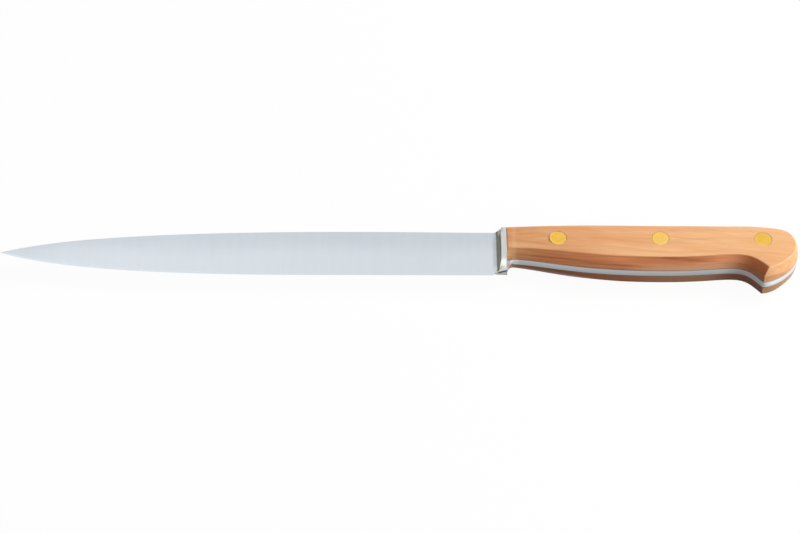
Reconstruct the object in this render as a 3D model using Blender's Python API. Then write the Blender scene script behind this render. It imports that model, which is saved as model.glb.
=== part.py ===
"""A fillet knife with a full tang: one steel forging, two wooden scales and three two-part brass rivets.

The knife is drawn in its own construction frame and then laid on its side. In the construction frame X runs
from the tip (-X) to the butt (+X) with zero at the rear face of the bolster, Y runs from the cutting edge up
to the spine with zero at the level of the edge, and Z is across the blade with zero in its middle plane.
The empty that carries every piece moves this frame so that the lower scale's cheek lies on Z = 0 and the
world's origin is under the middle of the knife.
"""

import math
from typing import NamedTuple

import bmesh
import bpy
from mathutils import Vector
from mathutils.geometry import interpolate_bezier

MM = 0.001

# Blade: side view
BLADE_LENGTH = 208.5 * MM  # tip to the start of the bolster's fillet
TIP_Y = 12.8 * MM
SPINE_Y_AT_HEEL = 23.3 * MM
SPINE_CREST_Y = 23.9 * MM
SPINE_CREST_FROM_TIP = 145.0 * MM
SPINE_RISE = 8.75 * MM  # how far the curve's handle at the tip stands above the tip
SPINE_TIP_HANDLE = 28.0 * MM
SPINE_CREST_HANDLE = 60.0 * MM
EDGE_Y_AT_HEEL = 0.05 * MM
EDGE_STRAIGHT_Y = 0.25 * MM
EDGE_STRAIGHT_FROM_TIP = 140.0 * MM
EDGE_DROP = 9.95 * MM  # how far the curve's handle at the tip lies below the tip
EDGE_TIP_HANDLE = 26.0 * MM
EDGE_STRAIGHT_HANDLE = 65.0 * MM

# Blade: thickness
SPINE_THICKNESS = 2.0 * MM  # at the heel
SHOULDER_THICKNESS = 0.5 * MM  # at the heel, where the flat side meets the edge's own bevel
DISTAL_TAPER = 0.0009  # half thickness lost for each metre towards the tip
EDGE_BEVEL_HEIGHT = 0.8 * MM
TIP_THINNING_LENGTH = 30.0 * MM
TIP_THINNING = 0.3  # share of the wedge's thickness that is left at the very tip
TIP_BLUNTNESS = 0.12  # size of the tip's tiny end face, as a share of the next cross-section
TIP_BEVEL_SHARE = 0.25  # the edge's bevel takes no more of the blade's height than this
SIDE_START = 1.05  # where the flat side's first point may lie, in heights of the edge's bevel

# Bolster
BOLSTER_LENGTH = 6.3 * MM  # fillet and land together
RAMP_LENGTH = 3.7 * MM  # the hollow fillet that rises from the blade to the land
RAMP_LENGTH_AT_FOOT = 2.6 * MM
RAMP_LENGTH_AT_TOP = 4.2 * MM
RAMP_SWEEP_HEIGHT = 5.5 * MM  # above the foot, where the fillet has its full length
SPINE_STEP_START = 1.1 * MM  # behind the heel, where the spine starts to rise to the handle's top
SPINE_STEP_LENGTH = 3.0 * MM
BOLSTER_BOTTOM_Y = 1.4 * MM
BOLSTER_BOTTOM_THICKNESS = 2.3 * MM
FLARE_TOP_Y = 9.5 * MM  # where the flared finger side reaches the bolster's full width
FLARE_BOW_Y = 4.4 * MM
FLARE_BOW_THICKNESS = 7.9 * MM
FLARE_SHOULDER_Y = 5.6 * MM

# Handle: side view, shared by the tang and the scales
HANDLE_LENGTH = 123.1 * MM  # bolster's rear face to the butt
HANDLE_TOP_Y_AT_BOLSTER = 24.5 * MM
HANDLE_TOP_Y_AT_BUTT = 23.75 * MM
HANDLE_BOTTOM_Y_AT_BOLSTER = 7.6 * MM
BELLY_X = 66.1 * MM
BELLY_Y = 1.0 * MM
HOLLOW_FROM_BUTT = 28.6 * MM
HOLLOW_Y = 2.35 * MM
BEAK_FROM_BUTT = 16.1 * MM
BEAK_Y = -5.35 * MM
BUTT_Y = 10.65 * MM  # height of the butt's furthest point
BUTT_CURVE_LENGTH = 23.7 * MM  # from the butt forwards to where the top runs straight

# Handle: thickness and edges
TANG_THICKNESS = 3.4 * MM
TANG_ROOT_DEPTH = 1.6 * MM  # how far the tang's plate reaches into the bolster
TANG_ROOT_BOTTOM_Y = 3.6 * MM
TANG_FOOT_LAP = 0.2 * MM  # the same for the fillet's thin end, below the root
HANDLE_THICKNESS = 16.4 * MM
HANDLE_THICKNESS_AT_BOLSTER = 12.2 * MM
TAPER_LENGTH = 40.0 * MM  # from the bolster back to where the cheeks are flat
WAIST_FILLET_LENGTH = 3.1 * MM  # the handle's underside sweeps down to the bolster here
WAIST_FILLET_HEIGHT = 6.0 * MM
SCALE_WAIST_SHARE = 0.4  # share of the tang's fillet that the wood's underside follows

# Handle: how far each curve's handles reach, as shares of the curve's own length and height
UNDERSIDE_START_PULL = 0.21
BELLY_PULL = 0.58
HOLLOW_FRONT_PULL = 0.23
HOLLOW_REAR_PULL = 0.57
BEAK_FRONT_PULL = (0.3, 0.55)
BEAK_REAR_PULL = (0.4, 0.02)
BUTT_LOWER_PULL = 0.5
BUTT_UPPER_PULL = 0.66
TOP_REAR_PULL = 0.29

# Rounding of the handle's outer edges, a piece of an ellipse from its start angle to its end angle
UNDERSIDE_INSET = 2.65 * MM
FRONT_END_ANGLE = math.radians(45)
FRONT_BLEND_LENGTH = 52.0 * MM  # from the bolster back to the belly's rounding
BELLY_START_ANGLE = math.radians(40)  # above 0 the edge leaves the wall at a corner, as a chamfer does
BELLY_END_ANGLE = math.radians(54)
BELLY_FLAT_HALF = 5.5 * MM
BEAK_RIDGE = Vector((2.2 * MM, 3.55 * MM))  # from the beak to the corner of the cheek's edge
BUTT_INSET = 1.7 * MM
BUTT_END_ANGLE = math.radians(50)
TOP_INSET = 6.0 * MM
TOP_END_ANGLE = math.radians(90)
TOP_FLAT_HALF = 2.0 * MM
BEAK_SLIDE_LENGTH = 14.0 * MM  # outline over which the insets make room for the ridge at the beak

# Rivets
RIVET_HEAD_DIAMETER = 7.2 * MM
RIVET_HEAD_THICKNESS = 2.2 * MM
RIVET_SLEEVE_DIAMETER = 5.2 * MM
RIVET_PIN_DIAMETER = 3.2 * MM
RIVET_NAMES = ("front", "middle", "rear")
FIRST_RIVET_X = 21.5 * MM
LAST_RIVET_FROM_BUTT = 15.0 * MM
FIRST_RIVET_Y = 14.3 * MM
LAST_RIVET_Y = 13.2 * MM

# Fits
FIT_GAP = 0.25 * MM  # between pieces that seat on each other
PRESS_GAP = 0.15 * MM  # around the rivet's pin in its sleeve
SLEEVE_END_ROOM = 1.2 * MM  # left open beyond the sleeve's mouth and beyond the pin's end
CUTTER_OVERRUN = 3.0 * MM

# Facets
BLADE_STATIONS = 24
STATION_CROWDING = 1.6  # above 1 the blade's cross-sections lie closer together towards the tip
RAMP_STATIONS = 14
FLARE_POINTS = 6
LAND_POINTS = 3
ROUND_POINTS = 6
BEZIER_POINTS = 12
TOP_POINTS = 8
TAPER_STATIONS = 8
WAIST_STATIONS = 6
RIVET_FACETS = 32

HEEL_X = -BOLSTER_LENGTH
TIP_X = HEEL_X - BLADE_LENGTH
TANG_HALF = TANG_THICKNESS / 2
CHEEK_HALF = HANDLE_THICKNESS / 2
FRONT_HALF = HANDLE_THICKNESS_AT_BOLSTER / 2
BEAK = Vector((HANDLE_LENGTH - BEAK_FROM_BUTT, BEAK_Y))


def ease(t):
    """A share from 0 to 1 that starts and ends gently."""
    t = min(max(t, 0.0), 1.0)
    return t * t * (3 - 2 * t)


def mix(a, b, t):
    return a + (b - a) * t


def bezier(points, count):
    """Points along one cubic curve through its two ends, the last end left out."""
    start, start_handle, end_handle, end = (Vector((x, y, 0)) for x, y in points)
    run = interpolate_bezier(start, start_handle, end_handle, end, count + 1)
    return [Vector((p.x, p.y)) for p in run[:-1]]


def height_at(line, x):
    """Y of a line of points, sorted by X, at this X."""
    for a, b in zip(line, line[1:]):
        if a.x <= x <= b.x:
            return mix(a.y, b.y, (x - a.x) / (b.x - a.x))
    return line[0].y if x < line[0].x else line[-1].y


def make_material(name, color, roughness, metallic):
    material = bpy.data.materials.new(name)
    material.use_nodes = True
    shader = material.node_tree.nodes["Principled BSDF"]
    shader.inputs["Base Color"].default_value = (*color, 1.0)
    shader.inputs["Roughness"].default_value = roughness
    shader.inputs["Metallic"].default_value = metallic
    return material


def add_object(name, bm, parent, material=None, sharp_angle=math.radians(30)):
    """Turn a bmesh into an object carried by parent, with its faces pointing out."""
    bmesh.ops.recalc_face_normals(bm, faces=bm.faces)
    mesh = bpy.data.meshes.new(name)
    bm.to_mesh(mesh)
    bm.free()
    mesh.shade_smooth()
    mesh.set_sharp_from_angle(angle=sharp_angle)
    obj = bpy.data.objects.new(name, mesh)
    bpy.context.scene.collection.objects.link(obj)
    obj.parent = parent
    if material:
        mesh.materials.append(material)
    return obj


def make_helper(obj):
    """Mark an object as a cutter or a shape that a Boolean joins, which is no piece of the knife."""
    obj.hide_render = True
    obj.display_type = "WIRE"
    return obj


def add_boolean(obj, other, operation):
    modifier = obj.modifiers.new(f"{operation.lower()} {other.name}", "BOOLEAN")
    modifier.object = other
    modifier.operation = operation
    modifier.solver = "EXACT"


def loft(rings):
    """Skin a closed body through rings that have the same number of points."""
    bm = bmesh.new()
    loops = [[bm.verts.new(point) for point in ring] for ring in rings]
    for near, far in zip(loops, loops[1:]):
        for i, vertex in enumerate(near):
            j = (i + 1) % len(near)
            bm.faces.new((vertex, near[j], far[j], far[i]))
    bm.faces.new(loops[0])
    bm.faces.new(loops[-1])
    return bm


def spine_line():
    crest = (TIP_X + SPINE_CREST_FROM_TIP, SPINE_CREST_Y)
    rising = (
        (TIP_X, TIP_Y),
        (TIP_X + SPINE_TIP_HANDLE, TIP_Y + SPINE_RISE),
        (crest[0] - SPINE_CREST_HANDLE, SPINE_CREST_Y),
        crest,
    )
    third = (HEEL_X - crest[0]) / 3
    falling = (
        crest,
        (crest[0] + third, SPINE_CREST_Y),
        (HEEL_X - third, mix(SPINE_Y_AT_HEEL, SPINE_CREST_Y, 1 / 3)),
        (HEEL_X, SPINE_Y_AT_HEEL),
    )
    return bezier(rising, 4 * BEZIER_POINTS) + bezier(falling, BEZIER_POINTS) + [Vector(falling[-1])]


def edge_line():
    straight = (TIP_X + EDGE_STRAIGHT_FROM_TIP, EDGE_STRAIGHT_Y)
    curved = (
        (TIP_X, TIP_Y),
        (TIP_X + EDGE_TIP_HANDLE, TIP_Y - EDGE_DROP),
        (straight[0] - EDGE_STRAIGHT_HANDLE, EDGE_STRAIGHT_Y),
        straight,
    )
    return bezier(curved, 4 * BEZIER_POINTS) + [Vector(straight), Vector((HEEL_X, EDGE_Y_AT_HEEL))]


def blade_half_thickness(x, y):
    """The blade's side is one plane, tapered to the edge and to the tip, and thinned close to the tip."""
    shoulder_y = EDGE_Y_AT_HEEL + EDGE_BEVEL_HEIGHT
    wedge = (SPINE_THICKNESS - SHOULDER_THICKNESS) / 2 / (SPINE_Y_AT_HEEL - shoulder_y)
    plane = SHOULDER_THICKNESS / 2 - DISTAL_TAPER * (HEEL_X - min(x, HEEL_X)) + wedge * (y - shoulder_y)
    return plane * mix(TIP_THINNING, 1.0, ease((x - TIP_X) / TIP_THINNING_LENGTH))


def thickness_share(x):
    """How much of a scale's full thickness is left at this distance from the bolster."""
    lost = (CHEEK_HALF - FRONT_HALF) * max(0.0, 1 - x / TAPER_LENGTH) ** 2
    return (CHEEK_HALF - lost - TANG_HALF) / (CHEEK_HALF - TANG_HALF)


def tapered_z(z, x):
    """Z of a point of the handle once the cheeks are drawn in towards the bolster. The tang's edge stays."""
    outside = abs(z) - TANG_HALF
    return z if outside <= 0 else math.copysign(TANG_HALF + outside * thickness_share(x), z)


def bolster_half_section():
    """(y, z) from the middle of the bolster's foot, round the +Z side, to the middle of its top."""
    foot = (BOLSTER_BOTTOM_Y, BOLSTER_BOTTOM_THICKNESS / 2)
    bow = (FLARE_BOW_Y, FLARE_BOW_THICKNESS / 2)
    flare = bezier((foot, bow, (FLARE_SHOULDER_Y, FRONT_HALF), (FLARE_TOP_Y, FRONT_HALF)), FLARE_POINTS)
    round_start = HANDLE_TOP_Y_AT_BOLSTER - TOP_INSET
    land = [Vector((mix(FLARE_TOP_Y, round_start, i / LAND_POINTS), FRONT_HALF)) for i in range(LAND_POINTS)]
    flat = tapered_z(TOP_FLAT_HALF, 0.0)
    corner = []
    for i in range(ROUND_POINTS, -1, -1):
        turn = TOP_END_ANGLE * i / ROUND_POINTS
        inset = TOP_INSET * (1 - math.cos(turn)) / (1 - math.cos(TOP_END_ANGLE))
        z = mix(flat, FRONT_HALF, math.sin(turn) / math.sin(TOP_END_ANGLE))
        corner.append(Vector((HANDLE_TOP_Y_AT_BOLSTER - inset, z)))
    middle_foot = Vector((BOLSTER_BOTTOM_Y, 0.0))
    middle_top = Vector((HANDLE_TOP_Y_AT_BOLSTER, 0.0))
    return [middle_foot, *flare, *land, *corner, middle_top]


def ramp_share(x, y):
    """How far the fillet has risen from blade to bolster. It is short at the foot and long at the top."""
    sweep = min(max((y - BOLSTER_BOTTOM_Y) / RAMP_SWEEP_HEIGHT, 0.0), 1.0)
    length = mix(RAMP_LENGTH_AT_FOOT, RAMP_LENGTH, math.sin(math.pi / 2 * sweep))
    top_share = ease((y - (HANDLE_TOP_Y_AT_BOLSTER - TOP_INSET)) / TOP_INSET)
    length = mix(length, RAMP_LENGTH_AT_TOP, top_share)
    rise = min(max((x - HEEL_X) / length, 0.0), 1.0)
    return 1 - math.sqrt(1 - rise**2)


def forging_ring(x, spine, edge, section):
    """The forging's cross-section at X: the blade's wedge, swelling into the bolster behind the heel."""
    growth = math.sin(math.pi / 2 * min(max((x - HEEL_X) / BOLSTER_LENGTH, 0.0), 1.0))
    foot_growth = math.sin(math.pi / 2 * min(max((x - HEEL_X) / RAMP_LENGTH_AT_FOOT, 0.0), 1.0))
    bottom = mix(height_at(edge, x), BOLSTER_BOTTOM_Y, growth)
    step = ease((x - HEEL_X - SPINE_STEP_START) / SPINE_STEP_LENGTH)
    top = mix(height_at(spine, x), HANDLE_TOP_Y_AT_BOLSTER, step)
    foot_y, top_y = section[0].x, section[-1].x
    bevel = min(EDGE_BEVEL_HEIGHT, TIP_BEVEL_SHARE * (top - bottom))
    half = []
    for i, point in enumerate(section):
        y = mix(bottom, top, (point.x - foot_y) / (top_y - foot_y))
        if i in (0, len(section) - 1):
            half.append((y, 0.0))
        elif i == 1:
            y += bevel * (1 - foot_growth)
            half.append((y, mix(blade_half_thickness(x, y), point.y, foot_growth)))
        else:
            y = max(y, bottom + SIDE_START * bevel * (1 - foot_growth))
            half.append((y, mix(blade_half_thickness(x, y), point.y, ramp_share(x, y))))
    right = [Vector((x, y, z)) for y, z in half]
    left = [Vector((x, y, -z)) for y, z in reversed(half[1:-1])]
    return right + left


def build_blade_and_bolster():
    """The blade and the bolster, skinned from the tip to the bolster's rear face."""
    spine, edge, section = spine_line(), edge_line(), bolster_half_section()
    shares = [(i / BLADE_STATIONS) ** STATION_CROWDING for i in range(1, BLADE_STATIONS + 1)]
    stations = [TIP_X + BLADE_LENGTH * share for share in shares]
    ramp_end = HEEL_X + RAMP_LENGTH_AT_TOP
    stations += [mix(HEEL_X, ramp_end, i / RAMP_STATIONS) for i in range(1, RAMP_STATIONS + 1)]
    stations += [mix(ramp_end, 0.0, 0.5), 0.0]
    rings = [forging_ring(x, spine, edge, section) for x in stations]
    tip = [Vector((TIP_X, mix(TIP_Y, p.y, TIP_BLUNTNESS), TIP_BLUNTNESS * p.z)) for p in rings[0]]
    return loft([tip, *rings])


def handle_bottom_run():
    """The underside from the bolster over the belly and the hollow to the beak."""
    hollow_x = HANDLE_LENGTH - HOLLOW_FROM_BUTT
    start = (0.0, HANDLE_BOTTOM_Y_AT_BOLSTER)
    belly = (BELLY_X, BELLY_Y)
    hollow = (hollow_x, HOLLOW_Y)
    to_belly = (
        start,
        (UNDERSIDE_START_PULL * BELLY_X, start[1]),
        ((1 - BELLY_PULL) * BELLY_X, BELLY_Y),
        belly,
    )
    room = hollow_x - BELLY_X
    to_hollow = (
        belly,
        (BELLY_X + BELLY_PULL * room, BELLY_Y),
        (hollow_x - HOLLOW_FRONT_PULL * room, HOLLOW_Y),
        hollow,
    )
    reach = BEAK.x - hollow_x
    drop = HOLLOW_Y - BEAK_Y
    to_beak = (
        hollow,
        (hollow_x + HOLLOW_REAR_PULL * reach, HOLLOW_Y),
        (BEAK.x - BEAK_FRONT_PULL[0] * reach, BEAK_Y + BEAK_FRONT_PULL[1] * drop),
        tuple(BEAK),
    )
    rear = bezier(to_hollow, BEZIER_POINTS // 2) + bezier(to_beak, BEZIER_POINTS // 2)
    return bezier(to_belly, BEZIER_POINTS) + rear


def handle_back_run():
    """From the beak round the butt and forward along the top to the bolster, without the beak itself."""
    butt = (HANDLE_LENGTH, BUTT_Y)
    rise = BUTT_Y - BEAK_Y
    to_butt = (
        tuple(BEAK),
        (BEAK.x + BEAK_REAR_PULL[0] * BEAK_FROM_BUTT, BEAK_Y + BEAK_REAR_PULL[1] * rise),
        (HANDLE_LENGTH, BUTT_Y - BUTT_LOWER_PULL * rise),
        butt,
    )
    top_end = (HANDLE_LENGTH - BUTT_CURVE_LENGTH, HANDLE_TOP_Y_AT_BUTT)
    corner = HANDLE_TOP_Y_AT_BUTT - BUTT_Y
    to_top = (
        butt,
        (HANDLE_LENGTH, BUTT_Y + BUTT_UPPER_PULL * corner),
        (HANDLE_LENGTH - TOP_REAR_PULL * BUTT_CURVE_LENGTH, HANDLE_TOP_Y_AT_BUTT),
        top_end,
    )
    third = top_end[0] / 3
    along_top = (
        top_end,
        (2 * third, mix(HANDLE_TOP_Y_AT_BOLSTER, HANDLE_TOP_Y_AT_BUTT, 2 / 3)),
        (third, HANDLE_TOP_Y_AT_BOLSTER),
        (0.0, HANDLE_TOP_Y_AT_BOLSTER),
    )
    run = bezier(to_butt, BEZIER_POINTS) + bezier(to_top, BEZIER_POINTS) + bezier(along_top, TOP_POINTS)
    return run[1:] + [Vector(along_top[-1])]


def turned_left(direction):
    return Vector((-direction.y, direction.x))


def inward_normals(points):
    """Unit normals that point into the handle, for an outline that goes round it anticlockwise."""
    normals = []
    for i, point in enumerate(points):
        before, after = points[max(i - 1, 0)], points[min(i + 1, len(points) - 1)]
        normals.append(turned_left(after - before).normalized())
    return normals


def waist_drop(x):
    """How far the handle's underside is drawn down this far from the bolster, as a quarter ellipse."""
    away = min(max(1 - x / WAIST_FILLET_LENGTH, 0.0), 1.0)
    return WAIST_FILLET_HEIGHT * (1 - math.sqrt(1 - away**2))


def waist_stations():
    """X of the fillet's facets, close together at the bolster, where it is steep."""
    return [WAIST_FILLET_LENGTH * (i / WAIST_STATIONS) ** 2 for i in range(WAIST_STATIONS)]


class EdgeForm(NamedTuple):
    """The handle's outer edge at one point: a piece of an ellipse between the flat wall and the cheek."""

    inset: float
    start: float
    end: float
    flat: float  # half width of the wall

    def towards(self, other, share):
        return EdgeForm(*(mix(a, b, share) for a, b in zip(self, other)))

    def drawn_in(self, turn):
        """Share of the inset at this share of the ellipse's turn."""
        angle = mix(self.start, self.end, turn)
        return (math.cos(self.start) - math.cos(angle)) / (math.cos(self.start) - math.cos(self.end))

    def z(self, turn):
        angle = mix(self.start, self.end, turn)
        rise = (math.sin(angle) - math.sin(self.start)) / (math.sin(self.end) - math.sin(self.start))
        return mix(self.flat, CHEEK_HALF, rise)


class HandleOutline:
    """The handle's side view with, at each point, how far and how round its outer edge is drawn in."""

    def __init__(self):
        self.below = handle_bottom_run() + [BEAK.copy()]
        self.behind = [BEAK.copy()] + handle_back_run()
        self.below_normals = inward_normals(self.below)
        self.behind_normals = inward_normals(self.behind)
        # Both runs end at the bolster's plane, and the points there stay in it
        self.below_normals[0] = Vector((0.0, 1.0))
        self.behind_normals[-1] = Vector((0.0, -1.0))

    def bottom_at(self, x):
        return height_at(self.below, x)

    def edge_below(self, point):
        """The form of the outer edge on the underside."""
        near_beak = ease(1 - (BEAK - point).length / BEAK_SLIDE_LENGTH)
        inset = mix(UNDERSIDE_INSET, BEAK_RIDGE.dot(self.below_normals[-1]), near_beak)
        front = EdgeForm(inset, 0.0, FRONT_END_ANGLE, TANG_HALF)
        belly = EdgeForm(inset, BELLY_START_ANGLE, BELLY_END_ANGLE, BELLY_FLAT_HALF)
        return front.towards(belly, ease(point.x / FRONT_BLEND_LENGTH))

    def edge_behind(self, point):
        """The form of the outer edge from the beak round to the top."""
        butt = EdgeForm(BUTT_INSET, 0.0, BUTT_END_ANGLE, TANG_HALF)
        if point.y < BUTT_Y:
            inset = BEAK_RIDGE.dot(self.behind_normals[0])
            beak = EdgeForm(inset, BELLY_START_ANGLE, BELLY_END_ANGLE, BELLY_FLAT_HALF)
            return beak.towards(butt, ease((point.y - BEAK_Y) / (BUTT_Y - BEAK_Y)))
        top = EdgeForm(TOP_INSET, 0.0, TOP_END_ANGLE, TOP_FLAT_HALF)
        return butt.towards(top, ease((HANDLE_LENGTH - point.x) / BUTT_CURVE_LENGTH))

    def ring(self, turn, side):
        """The outline drawn in by this share of the edge's turn, from the flat wall (0) to the cheek (1)."""
        beak_form = self.edge_below(BEAK)
        corner = BEAK_RIDGE * beak_form.drawn_in(turn)
        below = self.drawn_run(self.below, self.below_normals, -1, self.edge_below, corner, turn)
        behind = self.drawn_run(self.behind, self.behind_normals, 0, self.edge_behind, corner, turn)
        places = [*below[:-1], (BEAK + corner, beak_form), *behind[1:]]
        return [Vector((point.x, point.y, side * form.z(turn))) for point, form in places]

    def drawn_run(self, points, normals, beak_end, edge, corner, turn):
        """One run moved inwards. Near the beak its points also slide along, to make room for the ridge."""
        slide = corner - normals[beak_end] * corner.dot(normals[beak_end])
        run = []
        for point, normal in zip(points, normals):
            form = edge(point)
            near_beak = max(0.0, 1 - (point - BEAK).length / BEAK_SLIDE_LENGTH)
            run.append((point + normal * form.inset * form.drawn_in(turn) + slide * near_beak, form))
        return run


def handle_block():
    """The whole handle as ground to shape, with its cheeks drawn in towards the bolster."""
    outline = HandleOutline()
    turns = [i / ROUND_POINTS for i in range(ROUND_POINTS, -1, -1)]
    lower = [outline.ring(turn, -1) for turn in turns]
    upper = [outline.ring(turn, 1) for turn in reversed(turns)]
    bm = loft(lower + upper)
    for i in range(1, TAPER_STATIONS + 1):
        split(bm, TAPER_LENGTH * i / TAPER_STATIONS)
    for x in waist_stations()[1:]:
        split(bm, x)
    cut_away(bm, Vector((FIT_GAP, 0, 0)), Vector((-1, 0, 0)))
    for vertex in bm.verts:
        point = vertex.co
        below_cheek = outline.bottom_at(point.x) + UNDERSIDE_INSET - point.y
        near_wall = min(max(below_cheek / UNDERSIDE_INSET, 0.0), 1.0)
        point.y -= SCALE_WAIST_SHARE * waist_drop(point.x) * near_wall
        point.z = tapered_z(point.z, point.x)
    return bm


def split(bm, x):
    """Cut the surface along a plane across X, taking nothing away."""
    everything = bm.verts[:] + bm.edges[:] + bm.faces[:]
    bmesh.ops.bisect_plane(bm, geom=everything, dist=1e-7, plane_co=(x, 0, 0), plane_no=(1, 0, 0))


def cut_away(bm, point, normal):
    """Cut off what lies beyond a plane and close the cut."""
    everything = bm.verts[:] + bm.edges[:] + bm.faces[:]
    made = bmesh.ops.bisect_plane(
        bm, geom=everything, dist=1e-7, plane_co=point, plane_no=normal, clear_outer=True
    )
    rim = [item for item in made["geom_cut"] if isinstance(item, bmesh.types.BMEdge)]
    if rim:
        bmesh.ops.contextual_create(bm, geom=rim)


def build_scale(side):
    """One wooden scale: the part of the handle block that lies on this side of the tang."""
    bm = handle_block()
    inner = Vector((0, 0, side * (TANG_HALF + FIT_GAP)))
    cut_away(bm, inner, Vector((0, 0, -side)))
    return bm


def build_tang():
    """The flat steel plate between the scales, with its root inside the bolster and a fillet under it."""
    outline = HandleOutline()
    fillet = [Vector((x, outline.bottom_at(x) - waist_drop(x))) for x in waist_stations()]
    underside = [point for point in outline.below if point.x > WAIST_FILLET_LENGTH]
    root_x = -TANG_ROOT_DEPTH
    root = [Vector((root_x, HANDLE_TOP_Y_AT_BOLSTER - TOP_INSET)), Vector((root_x, TANG_ROOT_BOTTOM_Y))]
    root += [Vector((-TANG_FOOT_LAP, y)) for y in (TANG_ROOT_BOTTOM_Y, fillet[0].y)]
    side_view = fillet + underside + outline.behind[1:] + root
    bm = bmesh.new()
    face = bm.faces.new([bm.verts.new((point.x, point.y, -TANG_HALF)) for point in side_view])
    made = bmesh.ops.extrude_face_region(bm, geom=[face])
    raised = [item for item in made["geom"] if isinstance(item, bmesh.types.BMVert)]
    bmesh.ops.translate(bm, verts=raised, vec=(0, 0, TANG_THICKNESS))
    return bm


def turned(profile):
    """A body turned about Z from (radius, z) points that start and end on the axis."""
    bm = bmesh.new()
    line = [bm.verts.new((radius, 0, z)) for radius, z in profile]
    edges = [bm.edges.new(pair) for pair in zip(line, line[1:])]
    bmesh.ops.spin(
        bm,
        geom=line + edges,
        axis=(0, 0, 1),
        cent=(0, 0, 0),
        angle=math.tau,
        steps=RIVET_FACETS,
        use_merge=True,
    )
    bmesh.ops.remove_doubles(bm, verts=bm.verts, dist=1e-6)
    return bm


def rivet_place(index):
    share = index / (len(RIVET_NAMES) - 1)
    last_x = HANDLE_LENGTH - LAST_RIVET_FROM_BUTT
    return Vector((mix(FIRST_RIVET_X, last_x, share), mix(FIRST_RIVET_Y, LAST_RIVET_Y, share), 0.0))


def head_seat_z(index):
    """How far from the middle plane the seat of a rivet's head lies, below the cheek at that rivet."""
    return tapered_z(CHEEK_HALF, rivet_place(index).x) - RIVET_HEAD_THICKNESS


def build_rivet_bore(index):
    """Cutter for one rivet: a through hole with a wider seat for the head at each end."""
    head = RIVET_HEAD_DIAMETER / 2 + FIT_GAP
    shank = RIVET_SLEEVE_DIAMETER / 2 + FIT_GAP
    seat = head_seat_z(index) - FIT_GAP
    end = CHEEK_HALF + CUTTER_OVERRUN
    lower = [(0, -end), (head, -end), (head, -seat), (shank, -seat)]
    upper = [(shank, seat), (head, seat), (head, end), (0, end)]
    return turned(lower + upper)


def build_rivet_sleeve(index):
    """The hollow half: a head on the upper cheek and a sleeve that reaches through the tang."""
    outer, bore = RIVET_SLEEVE_DIAMETER / 2, RIVET_PIN_DIAMETER / 2 + PRESS_GAP
    seat, end = head_seat_z(index), CHEEK_HALF + CUTTER_OVERRUN
    mouth = -seat + SLEEVE_END_ROOM
    head = RIVET_HEAD_DIAMETER / 2
    sleeve = [(0, seat), (bore, seat), (bore, mouth), (outer, mouth), (outer, seat)]
    return turned([*sleeve, (head, seat), (head, end), (0, end)])


def build_rivet_pin(index):
    """The solid half: a head on the lower cheek and a pin that is pressed into the sleeve."""
    seat, end = head_seat_z(index), CHEEK_HALF + CUTTER_OVERRUN
    head, pin = RIVET_HEAD_DIAMETER / 2, RIVET_PIN_DIAMETER / 2
    pin_end = seat - SLEEVE_END_ROOM
    return turned([(0, -end), (head, -end), (head, -seat), (pin, -seat), (pin, pin_end), (0, pin_end)])


def main():
    for obj in list(bpy.data.objects):
        bpy.data.objects.remove(obj)
    steel = make_material("blade_steel", (0.62, 0.66, 0.70), 0.30, 1.0)
    wood = make_material("handle_wood", (0.78, 0.44, 0.22), 0.45, 0.0)
    brass = make_material("rivet_brass", (0.90, 0.66, 0.20), 0.30, 1.0)

    knife = bpy.data.objects.new("knife", None)
    bpy.context.scene.collection.objects.link(knife)
    middle_x = (TIP_X + HANDLE_LENGTH) / 2
    middle_y = (BEAK_Y + HANDLE_TOP_Y_AT_BOLSTER) / 2
    knife.location = (-middle_x, -middle_y, CHEEK_HALF)

    bores = []
    for i, name in enumerate(RIVET_NAMES):
        bore = make_helper(add_object(f"{name}_rivet_bore", build_rivet_bore(i), knife))
        bore.location = rivet_place(i)
        bores.append(bore)
    ground = make_helper(add_object("ground_handle", handle_block(), knife))
    tang = make_helper(add_object("tang_plate", build_tang(), knife))

    forging = add_object("forged_blade", build_blade_and_bolster(), knife, steel)
    add_boolean(forging, tang, "UNION")
    upper_scale = add_object("upper_scale", build_scale(1), knife, wood)
    lower_scale = add_object("lower_scale", build_scale(-1), knife, wood)
    for piece in (forging, upper_scale, lower_scale):
        for bore in bores:
            add_boolean(piece, bore, "DIFFERENCE")

    for i, name in enumerate(RIVET_NAMES):
        halves = (("sleeve", build_rivet_sleeve(i)), ("pin", build_rivet_pin(i)))
        for half, bm in halves:
            rivet = add_object(f"{name}_rivet_{half}", bm, knife, brass)
            rivet.location = rivet_place(i)
            add_boolean(rivet, ground, "INTERSECT")


main()
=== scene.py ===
"""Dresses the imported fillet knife: finely shaped steel, wood and brass in the place of the plain solids.

Sizes are in millimetres of the knife's own frame, as it was forged and ground: X runs from the bolster's rear
face, with the tip at -X and the butt at +X, Y from the cutting edge up to the spine, Z across the blade.
"""

import logging
import math
from collections.abc import Callable, Iterable, Mapping, Sequence
from dataclasses import astuple, dataclass, field
from enum import Enum
from functools import cached_property, partial

import bmesh
import bpy
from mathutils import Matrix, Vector
from mathutils.geometry import interpolate_bezier


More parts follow.
